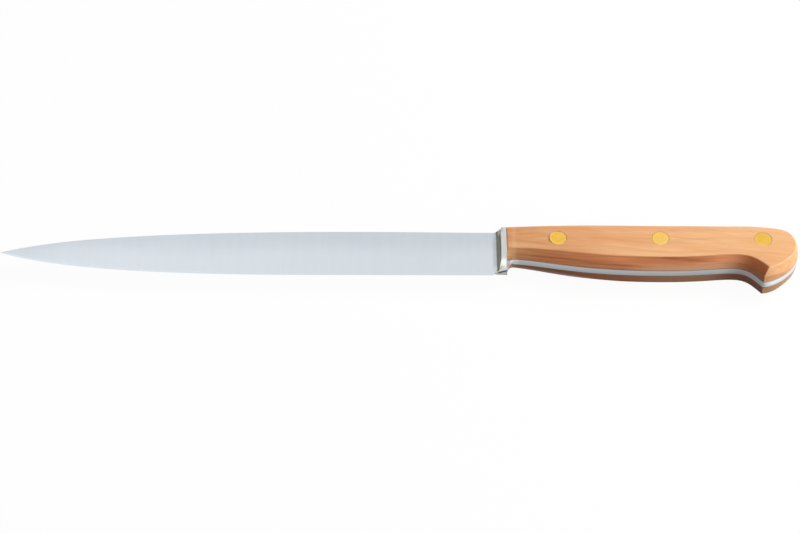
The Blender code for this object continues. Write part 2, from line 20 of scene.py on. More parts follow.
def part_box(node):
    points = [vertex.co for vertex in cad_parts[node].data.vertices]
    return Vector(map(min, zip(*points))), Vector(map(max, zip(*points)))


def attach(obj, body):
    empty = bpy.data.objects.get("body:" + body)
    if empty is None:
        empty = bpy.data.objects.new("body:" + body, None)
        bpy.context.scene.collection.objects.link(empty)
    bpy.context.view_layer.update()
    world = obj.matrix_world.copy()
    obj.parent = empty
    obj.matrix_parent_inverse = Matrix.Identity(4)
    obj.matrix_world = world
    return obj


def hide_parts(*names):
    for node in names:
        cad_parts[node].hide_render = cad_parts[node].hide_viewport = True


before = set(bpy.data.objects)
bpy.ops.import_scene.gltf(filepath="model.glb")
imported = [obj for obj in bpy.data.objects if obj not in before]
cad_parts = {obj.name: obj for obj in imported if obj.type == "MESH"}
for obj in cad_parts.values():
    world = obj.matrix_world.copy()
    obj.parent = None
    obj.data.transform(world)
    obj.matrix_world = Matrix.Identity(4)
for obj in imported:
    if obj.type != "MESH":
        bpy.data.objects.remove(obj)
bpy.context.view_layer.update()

MM = 0.001
MERGE = 1e-4
ROOT = "root"

log = logging.getLogger("knife")

Pair = tuple[float, float]
Triple = tuple[float, float, float]
Colour = Triple
Line = list[Vector]

WHITE: Colour = (1.0, 1.0, 1.0)


class Side(Enum):
    """The two cheeks of the handle, by the direction in which they face."""

    UPPER = 1
    LOWER = -1


class Slot(Enum):
    """The record's material slots."""

    STEEL = "blade_steel"
    WOOD = "handle_wood"
    BRASS = "rivet_brass"


class Boolean(Enum):
    """What other bodies do to a piece."""

    JOIN = "UNION"
    CUT = "DIFFERENCE"


class Step(Enum):
    """How a share changes from 0 to 1 in a shader."""

    GENTLE = "SMOOTHSTEP"
    EVEN = "LINEAR"


class Blend(Enum):
    """How one colour is laid over another in a shader."""

    OVER = "MIX"
    TINT = "MULTIPLY"


def clamp(value: float) -> float:
    """Keep a share between 0 and 1."""
    return min(max(value, 0.0), 1.0)


def ease(share: float) -> float:
    """A share from 0 to 1 that starts and ends gently."""
    share = clamp(share)
    return share * share * (3 - 2 * share)


def swell(share: float) -> float:
    """A share from 0 to 1 that only ends gently, as a quarter of a sine."""
    return math.sin(math.pi / 2 * clamp(share))


def mix(a: float, b: float, share: float) -> float:
    """The number this share of the way from a to b."""
    return a + (b - a) * share


def bow(start: Vector, bend: Vector, end: Vector, share: float) -> Vector:
    """The point this share of the way along a curve that is drawn towards a bend."""
    return start * (1 - share) ** 2 + bend * (2 * share * (1 - share)) + end * share**2


def cubic(points: Sequence[Pair], count: int) -> Line:
    """Points along one cubic curve, its last end left out.

    Args:
        points: The curve's start, its two handles and its end.
        count: How many points to return.

    Returns:
        The points, from the start on.
    """
    start, start_handle, end_handle, end = (Vector((x, y, 0)) for x, y in points)
    run = interpolate_bezier(start, start_handle, end_handle, end, count + 1)
    return [Vector((p.x, p.y)) for p in run[:-1]]


def height_at(line: Line, x: float) -> float:
    """The height of a line, which holds its ends' heights beyond them.

    Args:
        line: Its points, sorted by X.
        x: Where to measure it.

    Returns:
        Its Y there.
    """
    for a, b in zip(line, line[1:]):
        if a.x <= x <= b.x:
            return mix(a.y, b.y, (x - a.x) / (b.x - a.x))
    return line[0].y if x < line[0].x else line[-1].y


def flat(points: Iterable[Vector]) -> Line:
    """The same points as 3-D ones at Z 0."""
    return [Vector((p.x, p.y, 0)) for p in points]


def add_object(name: str, data: bpy.types.ID) -> bpy.types.Object:
    """Add an object with this data to the scene, at the world's origin.

    Args:
        name: Its name.
        data: Its mesh, lamp or camera.

    Returns:
        The object.
    """
    made = bpy.data.objects.new(name, data)
    bpy.context.scene.collection.objects.link(made)
    return made


def aimed(name: str, data: bpy.types.ID, place: Vector, gaze: Vector) -> bpy.types.Object:
    """Add an object at a place, turned so that its -Z looks along a direction.

    Args:
        name: Its name.
        data: Its mesh, lamp or camera.
        place: Where it goes.
        gaze: The direction.

    Returns:
        The object.
    """
    made = add_object(name, data)
    made.location = place
    made.rotation_mode = "QUATERNION"
    made.rotation_quaternion = gaze.to_track_quat("-Z", "Y")
    return made


def sheet(name: str, size: Pair, cells: int, material: bpy.types.Material) -> bpy.types.Mesh:
    """A flat rectangular mesh.

    Args:
        name: Its name.
        size: Its width and height, in metres.
        cells: How many cells it has each way.
        material: Its material.

    Returns:
        The mesh.
    """
    bm = bmesh.new()
    bmesh.ops.create_grid(bm, x_segments=cells, y_segments=cells, size=0.5)
    bmesh.ops.scale(bm, verts=bm.verts, vec=(*size, 1.0))
    mesh = bpy.data.meshes.new(name)
    bm.to_mesh(mesh)
    bm.free()
    mesh.materials.append(material)
    return mesh


def shade(mesh: bpy.types.Mesh, sharp: float) -> None:
    """Shade a mesh smooth, apart from edges that turn by more than this many degrees."""
    mesh.shade_smooth()
    mesh.set_sharp_from_angle(angle=math.radians(sharp))


class Shaper:
    """A mesh in progress, in millimetres, made with bmesh operators."""

    def __init__(self) -> None:
        """Start with nothing."""
        self.bm = bmesh.new()

    def ring(self, points: Sequence[Vector]) -> list[bmesh.types.BMEdge]:
        """Add a closed ring of edges.

        Args:
            points: Its points, in order.

        Returns:
            The ring's edges.
        """
        made = bmesh.ops.create_circle(self.bm, cap_ends=False, radius=1.0, segments=len(points))
        verts = made["verts"]
        for vert, point in zip(verts, points):
            vert.co = point
        return list({edge for vert in verts for edge in vert.link_edges})

    def cap(self, edges: Sequence[bmesh.types.BMEdge]) -> bmesh.types.BMFace:
        """Close a ring of edges with one face, and return it."""
        return bmesh.ops.contextual_create(self.bm, geom=list(edges))["faces"][0]

    def loft(self, rings: Iterable[Sequence[Vector]]) -> None:
        """Skin a body and close both its ends.

        Args:
            rings: Its cross-sections in order, all of as many points.
        """
        loops = [self.ring(points) for points in rings]
        for near, far in zip(loops, loops[1:]):
            bmesh.ops.bridge_loops(self.bm, edges=near + far)
        self.cap(loops[0])
        self.cap(loops[-1])

    def cut(self, point: Triple, normal: Triple, take_off: bool = True) -> None:
        """Cut the mesh along a plane.

        Args:
            point: A point of the plane.
            normal: Its normal.
            take_off: Whether what lies beyond the plane is taken off, and the cut closed.
        """
        geom = self.bm.verts[:] + self.bm.edges[:] + self.bm.faces[:]
        made = bmesh.ops.bisect_plane(
            self.bm, geom=geom, dist=MERGE, plane_co=point, plane_no=normal, clear_outer=take_off
        )
        if take_off:
            self.cap([item for item in made["geom_cut"] if isinstance(item, bmesh.types.BMEdge)])

    def extrude(self, points: Sequence[Vector], depth: float) -> None:
        """Make a plate.

        Args:
            points: Its outline.
            depth: Its thickness, along +Z.
        """
        made = bmesh.ops.extrude_face_region(self.bm, geom=[self.cap(self.ring(points))])
        raised = [item for item in made["geom"] if isinstance(item, bmesh.types.BMVert)]
        bmesh.ops.translate(self.bm, verts=raised, vec=(0, 0, depth))

    def turn(self, profile: Sequence[Pair], steps: int) -> None:
        """Turn a body about Z.

        Args:
            profile: Its (radius, z) points, which start and end on the axis.
            steps: How many facets it gets.
        """
        verts = [self.bm.verts.new((radius, 0, z)) for radius, z in profile]
        edges = [self.bm.edges.new(pair) for pair in zip(verts, verts[1:])]
        bmesh.ops.spin(
            self.bm,
            geom=verts + edges,
            axis=(0, 0, 1),
            cent=(0, 0, 0),
            angle=math.tau,
            steps=steps,
            use_merge=True,
        )

    def round(self, width: float, steps: int, chosen: Callable[[bmesh.types.BMEdge], bool]) -> None:
        """Round some edges.

        Args:
            width: How far the rounding reaches to each side.
            steps: How many facets it gets.
            chosen: Says which edges to round.
        """
        bmesh.ops.bevel(
            self.bm,
            geom=[edge for edge in self.bm.edges if chosen(edge)],
            offset=width,
            segments=steps,
            profile=0.5,
            affect="EDGES",
            material=-1,
        )

    def move(self, shift: Callable[[Vector], Vector]) -> None:
        """Move each vertex to where shift puts it."""
        for vert in self.bm.verts:
            vert.co = shift(vert.co)

    def finish(self, name: str, origin: Vector, sharp: float) -> bpy.types.Object:
        """Turn the mesh into an object at the world's origin, with its place in its mesh.

        Args:
            name: The object's name.
            origin: Where the knife's own origin lies in the world, in millimetres.
            sharp: Angle in degrees above which an edge stays crisp.

        Returns:
            The new object.
        """
        bmesh.ops.remove_doubles(self.bm, verts=self.bm.verts, dist=MERGE)
        bmesh.ops.recalc_face_normals(self.bm, faces=self.bm.faces)
        bmesh.ops.translate(self.bm, verts=self.bm.verts, vec=origin)
        bmesh.ops.scale(self.bm, verts=self.bm.verts, vec=(MM, MM, MM))
        mesh = bpy.data.meshes.new(name)
        self.bm.to_mesh(mesh)
        self.bm.free()
        shade(mesh, sharp)
        return add_object(name, mesh)


def combine(
    piece: bpy.types.Object, tools: Sequence[bpy.types.Object], how: Boolean, sharp: float
) -> bpy.types.Object:
    """Join or cut a piece with other bodies, which are used up.

    Args:
        piece: The piece that is changed.
        tools: The bodies to join to it or to cut it with.
        how: Whether they are joined or cut off.
        sharp: Angle in degrees above which an edge stays crisp.

    Returns:
        The piece.
    """
    for tool in tools:
        modifier = piece.modifiers.new(tool.name, "BOOLEAN")
        modifier.object = tool
        modifier.operation = how.value
        modifier.solver = "EXACT"
    graph = bpy.context.evaluated_depsgraph_get()
    used_up = [piece.data, *(tool.data for tool in tools)]
    piece.data = bpy.data.meshes.new_from_object(piece.evaluated_get(graph))
    piece.data.name = piece.name
    piece.modifiers.clear()
    for tool in tools:
        bpy.data.objects.remove(tool)
    for mesh in used_up:
        bpy.data.meshes.remove(mesh)
    shade(piece.data, sharp)
    return piece


@dataclass(frozen=True)
class HandleShape:
    """The handle's side view, taper and rounded edges, shared by the tang, the scales and the rivets."""

    length: float = 123.1
    top_at_bolster: float = 24.5
    top_at_butt: float = 23.75
    bottom_at_bolster: float = 7.6
    belly: Pair = (66.1, 1.0)
    hollow_from_butt: float = 28.6
    hollow_y: float = 2.35
    beak_from_butt: float = 16.1
    beak_y: float = -5.35
    butt_y: float = 10.65
    butt_curve: float = 23.7
    underside_start_pull: float = 0.21
    belly_pull: float = 0.58
    hollow_front_pull: float = 0.23
    hollow_rear_pull: float = 0.57
    beak_front_pull: Pair = (0.3, 0.55)
    beak_rear_pull: Pair = (0.4, 0.02)
    butt_lower_pull: float = 0.5
    butt_upper_pull: float = 0.66
    top_rear_pull: float = 0.29
    tang_thickness: float = 3.4
    thickness: float = 16.4
    thickness_at_bolster: float = 12.2
    taper_length: float = 40.0
    waist_length: float = 3.1
    waist_height: float = 6.0
    waist_steps: int = 14
    underside_inset: float = 2.65
    front_angle: float = math.radians(45)
    front_blend: float = 52.0
    belly_start: float = math.radians(40)
    belly_angle: float = math.radians(54)
    belly_flat: float = 5.5
    beak_ridge: Pair = (2.2, 3.55)
    beak_slide: float = 14.0
    beak_fade: float = 10.0
    butt_inset: float = 1.7
    butt_angle: float = math.radians(50)
    top_inset: float = 6.0
    top_angle: float = math.radians(90)
    top_flat: float = 2.0
    crease_radius: float = 0.35
    least_crease: float = 0.05
    curve_points: int = 40
    short_curve_points: int = 24

    @cached_property
    def origin(self) -> Vector:
        """Where the knife's own origin lies in the world, in millimetres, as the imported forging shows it."""
        low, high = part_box("forged_blade")
        return Vector((high.x / MM - self.length, low.y / MM - self.beak_y, (low.z + high.z) / 2 / MM))

    @property
    def tang_half(self) -> float:
        """Half the tang's thickness."""
        return self.tang_thickness / 2

    @property
    def cheek(self) -> float:
        """Z of the upper cheek where it is flat."""
        return self.thickness / 2

    @property
    def front_half(self) -> float:
        """Half the thickness at the bolster."""
        return self.thickness_at_bolster / 2

    @property
    def round_start(self) -> float:
        """Y at the bolster where the cheek starts to round over to the top."""
        return self.top_at_bolster - self.top_inset

    @property
    def beak(self) -> Vector:
        """The point of the beak in the side view."""
        return Vector((self.length - self.beak_from_butt, self.beak_y))

    @cached_property
    def below(self) -> Line:
        """The underside from the bolster over the belly and the hollow to the beak."""
        start = (0.0, self.bottom_at_bolster)
        hollow = (self.length - self.hollow_from_butt, self.hollow_y)
        beak = (self.beak.x, self.beak_y)
        belly_x, belly_y = self.belly
        to_belly = (
            start,
            (self.underside_start_pull * belly_x, start[1]),
            ((1 - self.belly_pull) * belly_x, belly_y),
            self.belly,
        )
        room = hollow[0] - belly_x
        to_hollow = (
            self.belly,
            (belly_x + self.belly_pull * room, belly_y),
            (hollow[0] - self.hollow_front_pull * room, hollow[1]),
            hollow,
        )
        reach = beak[0] - hollow[0]
        pull_x, pull_y = self.beak_front_pull
        to_beak = (
            hollow,
            (hollow[0] + self.hollow_rear_pull * reach, hollow[1]),
            (beak[0] - pull_x * reach, beak[1] + pull_y * (hollow[1] - beak[1])),
            beak,
        )
        front = cubic(to_belly, self.curve_points)
        rear = cubic(to_hollow, self.short_curve_points) + cubic(to_beak, self.short_curve_points)
        return [*front, *rear, self.beak]

    @cached_property
    def behind(self) -> Line:
        """From the beak round the butt and forward along the top to the bolster."""
        butt = (self.length, self.butt_y)
        rise = self.butt_y - self.beak_y
        pull_x, pull_y = self.beak_rear_pull
        to_butt = (
            (self.beak.x, self.beak_y),
            (self.beak.x + pull_x * self.beak_from_butt, self.beak_y + pull_y * rise),
            (self.length, self.butt_y - self.butt_lower_pull * rise),
            butt,
        )
        top_end = (self.length - self.butt_curve, self.top_at_butt)
        corner = self.top_at_butt - self.butt_y
        to_top = (
            butt,
            (self.length, self.butt_y + self.butt_upper_pull * corner),
            (self.length - self.top_rear_pull * self.butt_curve, self.top_at_butt),
            top_end,
        )
        third = top_end[0] / 3
        along_top = (
            top_end,
            (2 * third, mix(self.top_at_bolster, self.top_at_butt, 2 / 3)),
            (third, self.top_at_bolster),
            (0.0, self.top_at_bolster),
        )
        run = [p for curve in (to_butt, to_top, along_top) for p in cubic(curve, self.curve_points)]
        return [self.beak, *run[1:], Vector(along_top[-1])]

    def taper(self, z: float, x: float) -> float:
        """Draw a point of the handle in towards the bolster with the cheeks.

        Args:
            z: Its Z while the cheeks are parallel.
            x: Its X.

        Returns:
            Its new Z.
        """
        outside = abs(z) - self.tang_half
        if outside <= 0:
            return z
        lost = (self.cheek - self.front_half) * max(0.0, 1 - x / self.taper_length) ** 2
        left = (self.cheek - lost - self.tang_half) / (self.cheek - self.tang_half)
        return math.copysign(self.tang_half + outside * left, z)

    def waist_drop(self, x: float) -> float:
        """How far the underside is drawn down this far from the bolster, as a quarter ellipse."""
        away = clamp(1 - x / self.waist_length)
        return self.waist_height * (1 - math.sqrt(1 - away**2))

    def waist_stations(self) -> list[float]:
        """X of the cross-sections over the waist, the closer together the nearer the bolster."""
        return [self.waist_length * (i / self.waist_steps) ** 2 for i in range(self.waist_steps)]


@dataclass(frozen=True)
class EdgeForm:
    """How the handle's outer edge is rounded at one point, as a piece of an ellipse above a flat wall.

    Args:
        inset: How far the edge is drawn in at the cheek.
        start: Angle on the ellipse where the piece leaves the wall; 0 leaves it without a corner.
        end: Angle on the ellipse where the piece meets the cheek; 90 degrees meets it without a corner.
        flat: Z of the wall's top.
    """

    inset: float
    start: float
    end: float
    flat: float

    def towards(self, other: "EdgeForm", share: float) -> "EdgeForm":
        """The form this share of the way to another."""
        return EdgeForm(*(mix(own, its, share) for own, its in zip(astuple(self), astuple(other))))

    @property
    def width(self) -> float:
        """How wide the piece is on an ellipse of half width 1."""
        return math.cos(self.start) - math.cos(self.end)

    @property
    def height(self) -> float:
        """How high the piece is on an ellipse of half height 1."""
        return math.sin(self.end) - math.sin(self.start)

    def wall(self, depth: float) -> Pair:
        """(share of the inset, z) on the wall, this far below its top."""
        return 0.0, self.flat - depth

    def arc(self, turn: float, shape: HandleShape) -> Pair:
        """(share of the inset, z) on the ellipse at this share of its turn.

        Args:
            turn: How far along the piece of the ellipse, from 0 to 1.
            shape: The handle.

        Returns:
            The share of the inset and Z.
        """
        angle = mix(self.start, self.end, turn)
        share = (math.cos(self.start) - math.cos(angle)) / self.width
        return share, mix(self.flat, shape.cheek, (math.sin(angle) - math.sin(self.start)) / self.height)

    def crease(self, turn: float, shape: HandleShape) -> Pair:
        """(share of the inset, z) on the small rounding where the ellipse meets the cheek.

        Args:
            turn: How far along the rounding, from 0 on the ellipse to 1 on the cheek.
            shape: The handle.

        Returns:
            The share of the inset and Z.
        """
        run = self.inset * math.sin(self.end) / self.width
        rise = (shape.cheek - self.flat) * math.cos(self.end) / self.height
        slope = math.atan2(rise, run)
        reach = max(shape.crease_radius * math.tan(slope / 2), shape.least_crease)
        before = Vector((self.inset - reach * math.cos(slope), shape.cheek - reach * math.sin(slope)))
        corner = Vector((self.inset, shape.cheek))
        point = bow(before, corner, Vector((self.inset + reach, shape.cheek)), turn)
        return point.x / self.inset, point.y


Profile = Callable[[EdgeForm], Pair]


@dataclass
class Run:
    """One run of the handle's outline, between the bolster and the beak.

    Args:
        points: Its points.
        beak_end: Index of the beak in it.
        form_at: Gives the form of the handle's edge at a point.
    """

    points: Line
    beak_end: int
    form_at: Callable[[Vector], EdgeForm]
    normals: Line = field(init=False)

    def __post_init__(self) -> None:
        """Work out the unit normals that point into the handle; at the bolster they stand upright."""
        last = len(self.points) - 1
        self.normals = []
        for i in range(last + 1):
            along = self.points[min(i + 1, last)] - self.points[max(i - 1, 0)]
            self.normals.append(Vector((-along.y, along.x)).normalized())
        at_bolster = -1 - self.beak_end
        self.normals[at_bolster] = Vector((0.0, 1.0 if at_bolster == 0 else -1.0))

    @property
    def beak(self) -> Vector:
        """The beak."""
        return self.points[self.beak_end]

    def inset_at_beak(self, ridge: Pair) -> float:
        """How far the ridge is drawn in at the beak, square to the run."""
        return Vector(ridge).dot(self.normals[self.beak_end])

    def drawn(self, profile: Profile, corner: Vector, slide_length: float) -> list[Vector]:
        """The run, drawn in. Near the beak it also slides along, to make room for the ridge.

        Args:
            profile: Gives the share of the inset and Z for the form of the edge at a point.
            corner: How far the ridge has moved from the beak.
            slide_length: How far from the beak the run slides.

        Returns:
            Its new points, the beak left out.
        """
        square = self.normals[self.beak_end]
        slide = corner - square * corner.dot(square)
        run = []
        for point, normal in zip(self.points, self.normals):
            form = self.form_at(point)
            share, z = profile(form)
            near_beak = clamp(1 - (point - self.beak).length / slide_length)
            moved = point + normal * form.inset * share + slide * near_beak
            run.append(Vector((moved.x, moved.y, z)))
        del run[self.beak_end]
        return run


@dataclass
class HandleBlock:
    """The handle as ground to shape, before it is divided into scales."""

    shape: HandleShape
    arc_steps: int = 11
    arc_end: float = 0.94
    crease_steps: int = 5
    core_half: float = 1.0
    wall_loop: float = 0.4
    taper_step: float = 1.25
    below: Run = field(init=False)
    behind: Run = field(init=False)

    def __post_init__(self) -> None:
        """Divide the outline at the beak."""
        self.below = Run(self.shape.below, -1, self.edge_below)
        self.behind = Run(self.shape.behind, 0, self.edge_behind)

    def edge_below(self, point: Vector) -> EdgeForm:
        """Give the handle's edge its form on the underside.

        Args:
            point: A point of the outline.

        Returns:
            The form there.
        """
        shape = self.shape
        near_beak = ease(1 - (shape.beak - point).length / shape.beak_slide)
        inset = mix(shape.underside_inset, self.below.inset_at_beak(shape.beak_ridge), near_beak)
        front = EdgeForm(inset, 0.0, shape.front_angle, shape.tang_half)
        belly = EdgeForm(inset, shape.belly_start, shape.belly_angle, shape.belly_flat)
        return front.towards(belly, ease(point.x / shape.front_blend))

    def edge_behind(self, point: Vector) -> EdgeForm:
        """Give the handle's edge its form from the beak round the butt to the top.

        Args:
            point: A point of the outline.

        Returns:
            The form there.
        """
        shape = self.shape
        butt = EdgeForm(shape.butt_inset, 0.0, shape.butt_angle, shape.tang_half)
        if point.y < shape.butt_y:
            inset = self.behind.inset_at_beak(shape.beak_ridge)
            beak = EdgeForm(inset, shape.belly_start, shape.belly_angle, shape.belly_flat)
            return beak.towards(butt, ease((point.y - shape.beak_y) / shape.beak_fade))
        top = EdgeForm(shape.top_inset, 0.0, shape.top_angle, shape.top_flat)
        return butt.towards(top, ease((shape.length - point.x) / shape.butt_curve))

    def ring(self, profile: Profile) -> list[Vector]:
        """The outline drawn in by a profile of the edge.

        Args:
            profile: Gives the share of the inset and Z for the form of the edge at a point.

        Returns:
            The ring's points, anticlockwise from the bolster along the underside.
        """
        shape = self.shape
        share, z = profile(self.edge_below(shape.beak))
        corner = Vector(shape.beak_ridge) * share
        ridge = shape.beak + corner
        below, behind = (run.drawn(profile, corner, shape.beak_slide) for run in (self.below, self.behind))
        return [*below, Vector((ridge.x, ridge.y, z)), *behind]

    def half(self, inner_z: float, front_x: float, waist: float) -> Shaper:
        """The upper half of the block, down to a plane beside the tang.

        Args:
            inner_z: Z of that plane.
            front_x: X of the cut at the bolster.
            waist: Share of the tang's fillet that the wood follows.

        Returns:
            The mesh, closed.
        """
        shape = self.shape
        rings = [self.ring(lambda form: (0.0, self.core_half))]
        rings.append(self.ring(lambda form: form.wall(self.wall_loop)))
        for i in range(self.arc_steps + 1):
            turn = self.arc_end * i / self.arc_steps
            rings.append(self.ring(lambda form, turn=turn: form.arc(turn, shape)))
        for i in range(self.crease_steps + 1):
            turn = i / self.crease_steps
            rings.append(self.ring(lambda form, turn=turn: form.crease(turn, shape)))
        shaper = Shaper()
        shaper.loft(rings)
        tapered = [i * self.taper_step for i in range(1, round(shape.taper_length / self.taper_step) + 1)]
        for x in tapered + shape.waist_stations()[1:]:
            shaper.cut((x, 0, 0), (1, 0, 0), take_off=False)
        shaper.cut((front_x, 0, 0), (-1, 0, 0))
        shaper.move(lambda point: self.settled(point, waist))
        shaper.cut((0, 0, inner_z), (0, 0, -1))
        return shaper

    def settled(self, point: Vector, waist: float) -> Vector:
        """Grind the waist and the taper at one point.

        Args:
            point: The point on the plain block.
            waist: Share of the tang's fillet that the wood follows.

        Returns:
            Where it lies then.
        """
        shape = self.shape
        below_cheek = height_at(shape.below, point.x) + shape.underside_inset - point.y
        drop = waist * shape.waist_drop(point.x) * clamp(below_cheek / shape.underside_inset)
        return Vector((point.x, point.y - drop, shape.taper(point.z, point.x)))


@dataclass
class Forging:
    """The blade, the bolster and the tang: one steel forging."""

    handle: HandleBlock
    blade_length: float = 208.5
    tip_y: float = 12.8
    spine_at_heel: float = 23.3
    spine_crest: float = 23.9
    crest_from_tip: float = 145.0
    spine_rise: float = 8.75
    spine_tip_handle: float = 28.0
    spine_crest_handle: float = 60.0
    edge_at_heel: float = 0.05
    edge_straight_y: float = 0.25
    edge_straight_from_tip: float = 140.0
    edge_drop: float = 9.95
    edge_tip_handle: float = 26.0
    edge_straight_handle: float = 65.0
    spine_thickness: float = 2.0
    shoulder_thickness: float = 0.5
    distal_taper: float = 0.0009
    bevel_height: float = 0.8
    bevel_share: float = 0.25
    thinning_length: float = 30.0
    thinning: float = 0.3
    tip_bluntness: float = 0.12
    belly_bulge: float = 0.03
    spine_easing: float = 0.25
    spine_easing_share: float = 0.4
    bolster_length: float = 6.3
    ramp_length: float = 3.7
    ramp_at_foot: float = 2.6
    ramp_at_top: float = 4.2
    ramp_sweep: float = 5.5
    soft_start: float = 0.5
    soft_height: float = 1.6
    step_start: float = 1.1
    step_length: float = 3.0
    crown_flat: float = 2.5
    foot_y: float = 1.2
    foot_thickness: float = 2.3
    flare_top: float = 9.5
    flare_bow: Pair = (4.4, 3.95)
    flare_shoulder: float = 5.6
    crest_rounding: float = 0.3
    crest_share: float = 0.3
    run_out: float = 2.2
    run_out_rise: float = 0.42
    run_out_share: float = 0.1
    wall_angle: float = math.radians(48)
    wall_bend_share: float = 0.6
    foot_rounding: float = 0.3
    foot_slack: float = 0.1
    rim_rounding: float = 0.16
    root_depth: float = 1.6
    root_bottom: float = 3.6
    foot_lap: float = 0.2
    tang_easing: float = 0.14
    curved_points: int = 160
    falling_points: int = 40
    stations: int = 120
    crowding: float = 1.5
    flare_points: int = 16
    land_points: int = 6
    round_points: int = 16
    run_out_steps: int = 8
    wall_steps: int = 14
    crest_steps: int = 4
    land_steps: int = 4
    rounding_steps: int = 3
    easing_steps: int = 2
    sharp: float = 24.0

    @property
    def heel_x(self) -> float:
        """X where the blade's flat ends and the bolster's fillet starts."""
        return -self.bolster_length

    @property
    def tip_x(self) -> float:
        """X of the tip."""
        return self.heel_x - self.blade_length

    @cached_property
    def spine(self) -> Line:
        """The spine in the side view, from the tip to the heel."""
        crest = (self.tip_x + self.crest_from_tip, self.spine_crest)
        rising = (
            (self.tip_x, self.tip_y),
            (self.tip_x + self.spine_tip_handle, self.tip_y + self.spine_rise),
            (crest[0] - self.spine_crest_handle, self.spine_crest),
            crest,
        )
        third = (self.heel_x - crest[0]) / 3
        falling = (
            crest,
            (crest[0] + third, self.spine_crest),
            (self.heel_x - third, mix(self.spine_at_heel, self.spine_crest, 1 / 3)),
            (self.heel_x, self.spine_at_heel),
        )
        return cubic(rising, self.curved_points) + cubic(falling, self.falling_points) + [Vector(falling[-1])]

    @cached_property
    def edge(self) -> Line:
        """The cutting edge in the side view, from the tip to the heel."""
        straight = (self.tip_x + self.edge_straight_from_tip, self.edge_straight_y)
        curved = (
            (self.tip_x, self.tip_y),
            (self.tip_x + self.edge_tip_handle, self.tip_y - self.edge_drop),
            (straight[0] - self.edge_straight_handle, self.edge_straight_y),
            straight,
        )
        heel = (self.heel_x, self.edge_at_heel)
        return cubic(curved, self.curved_points) + [Vector(straight), Vector(heel)]

    @cached_property
    def section(self) -> list[Pair]:
        """(y, z) of the bolster from the edge of its foot, round the +Z side, to the middle of its top."""
        shape = self.handle.shape
        front = shape.front_half
        foot = (self.foot_y, self.foot_thickness / 2)
        flare = (foot, self.flare_bow, (self.flare_shoulder, front), (self.flare_top, front))
        points = [(p.x, p.y) for p in cubic(flare, self.flare_points)]
        for i in range(self.land_points):
            points.append((mix(self.flare_top, shape.round_start, i / self.land_points), front))
        crown = shape.taper(self.crown_flat, 0.0)
        for i in range(self.round_points, -1, -1):
            turn = shape.top_angle * i / self.round_points
            inset = shape.top_inset * (1 - math.cos(turn))
            points.append((shape.top_at_bolster - inset, mix(crown, front, math.sin(turn))))
        return points

    def half_thickness(self, x: float, y: float) -> float:
        """Half the blade's thickness: a wedge from spine to edge, thinned close to the tip.

        Args:
            x: Where along the blade.
            y: At which height.

        Returns:
            Half the thickness there.
        """
        shoulder = self.edge_at_heel + self.bevel_height
        height = self.spine_at_heel - shoulder
        wedge = (self.spine_thickness - self.shoulder_thickness) / 2 / height
        plane = self.shoulder_thickness / 2 - self.distal_taper * (self.heel_x - min(x, self.heel_x))
        up = clamp((y - shoulder) / height)
        bulge = self.belly_bulge * 4 * up * (1 - up)
        thinned = mix(self.thinning, 1.0, ease((x - self.tip_x) / self.thinning_length))
        return (plane + wedge * (y - shoulder) + bulge) * thinned

    def ramp_length_at(self, y: float) -> float:
        """Length of the bolster's fillet at this height: short at the foot and long at the top.

        Args:
            y: The height.

        Returns:
            The length.
        """
        shape = self.handle.shape
        length = mix(self.ramp_at_foot, self.ramp_length, swell((y - self.foot_y) / self.ramp_sweep))
        return mix(length, self.ramp_at_top, ease((y - shape.round_start) / shape.top_inset))

    def blade_point(self, x: float, index: int) -> Triple:
        """One point of the blade's own cross-section.

        Args:
            x: Where the cross-section lies.
            index: Which point of the bolster's section this one leads to.

        Returns:
            Y and Z of the point, and the height of the cutting edge there.
        """
        behind = x - self.heel_x
        bottom = mix(height_at(self.edge, x), self.foot_y, swell(behind / self.bolster_length))
        step = ease((behind - self.step_start) / self.step_length)
        top = mix(height_at(self.spine, x), self.handle.shape.top_at_bolster, step)
        bevel = min(self.bevel_height, self.bevel_share * (top - bottom))
        bevel *= 1 - swell(behind / self.ramp_at_foot)
        low, high = self.section[0][0], self.section[-1][0]
        y = mix(bottom + bevel, top, (self.section[index][0] - low) / (high - low))
        z = self.half_thickness(x, y)
        easing = min(self.spine_easing, self.spine_easing_share * self.half_thickness(x, top))
        depth = max(top - y, 0.0)
        if depth < easing:
            z -= easing - math.sqrt(easing**2 - (easing - depth) ** 2)
        return y, z, bottom

    def ring(self, where: Callable[[float, float], Pair]) -> list[Vector]:
        """One ring round the forging, from the cutting edge up the +Z side and down the other.

        Args:
            where: Gives X and the share of the bolster's section, from the length and the rise of its fillet.

        Returns:
            The ring's points.
        """
        half = []
        for index, (section_y, section_z) in enumerate(self.section):
            rise = section_z - self.half_thickness(self.heel_x, section_y)
            x, share = where(self.ramp_length_at(section_y), rise)
            y, z, bottom = self.blade_point(x, index)
            slow = ease((x - self.heel_x) / self.bolster_length)
            steep = ease((section_y - self.foot_y - self.soft_start) / self.soft_height)
            if not half:
                half.append(Vector((x, bottom, 0.0)))
            half.append(Vector((x, y, mix(z, section_z, mix(slow, share, steep)))))
        half.append(Vector((half[-1].x, half[-1].y, 0.0)))
        return half + [Vector((p.x, p.y, -p.z)) for p in reversed(half[1:-1])]

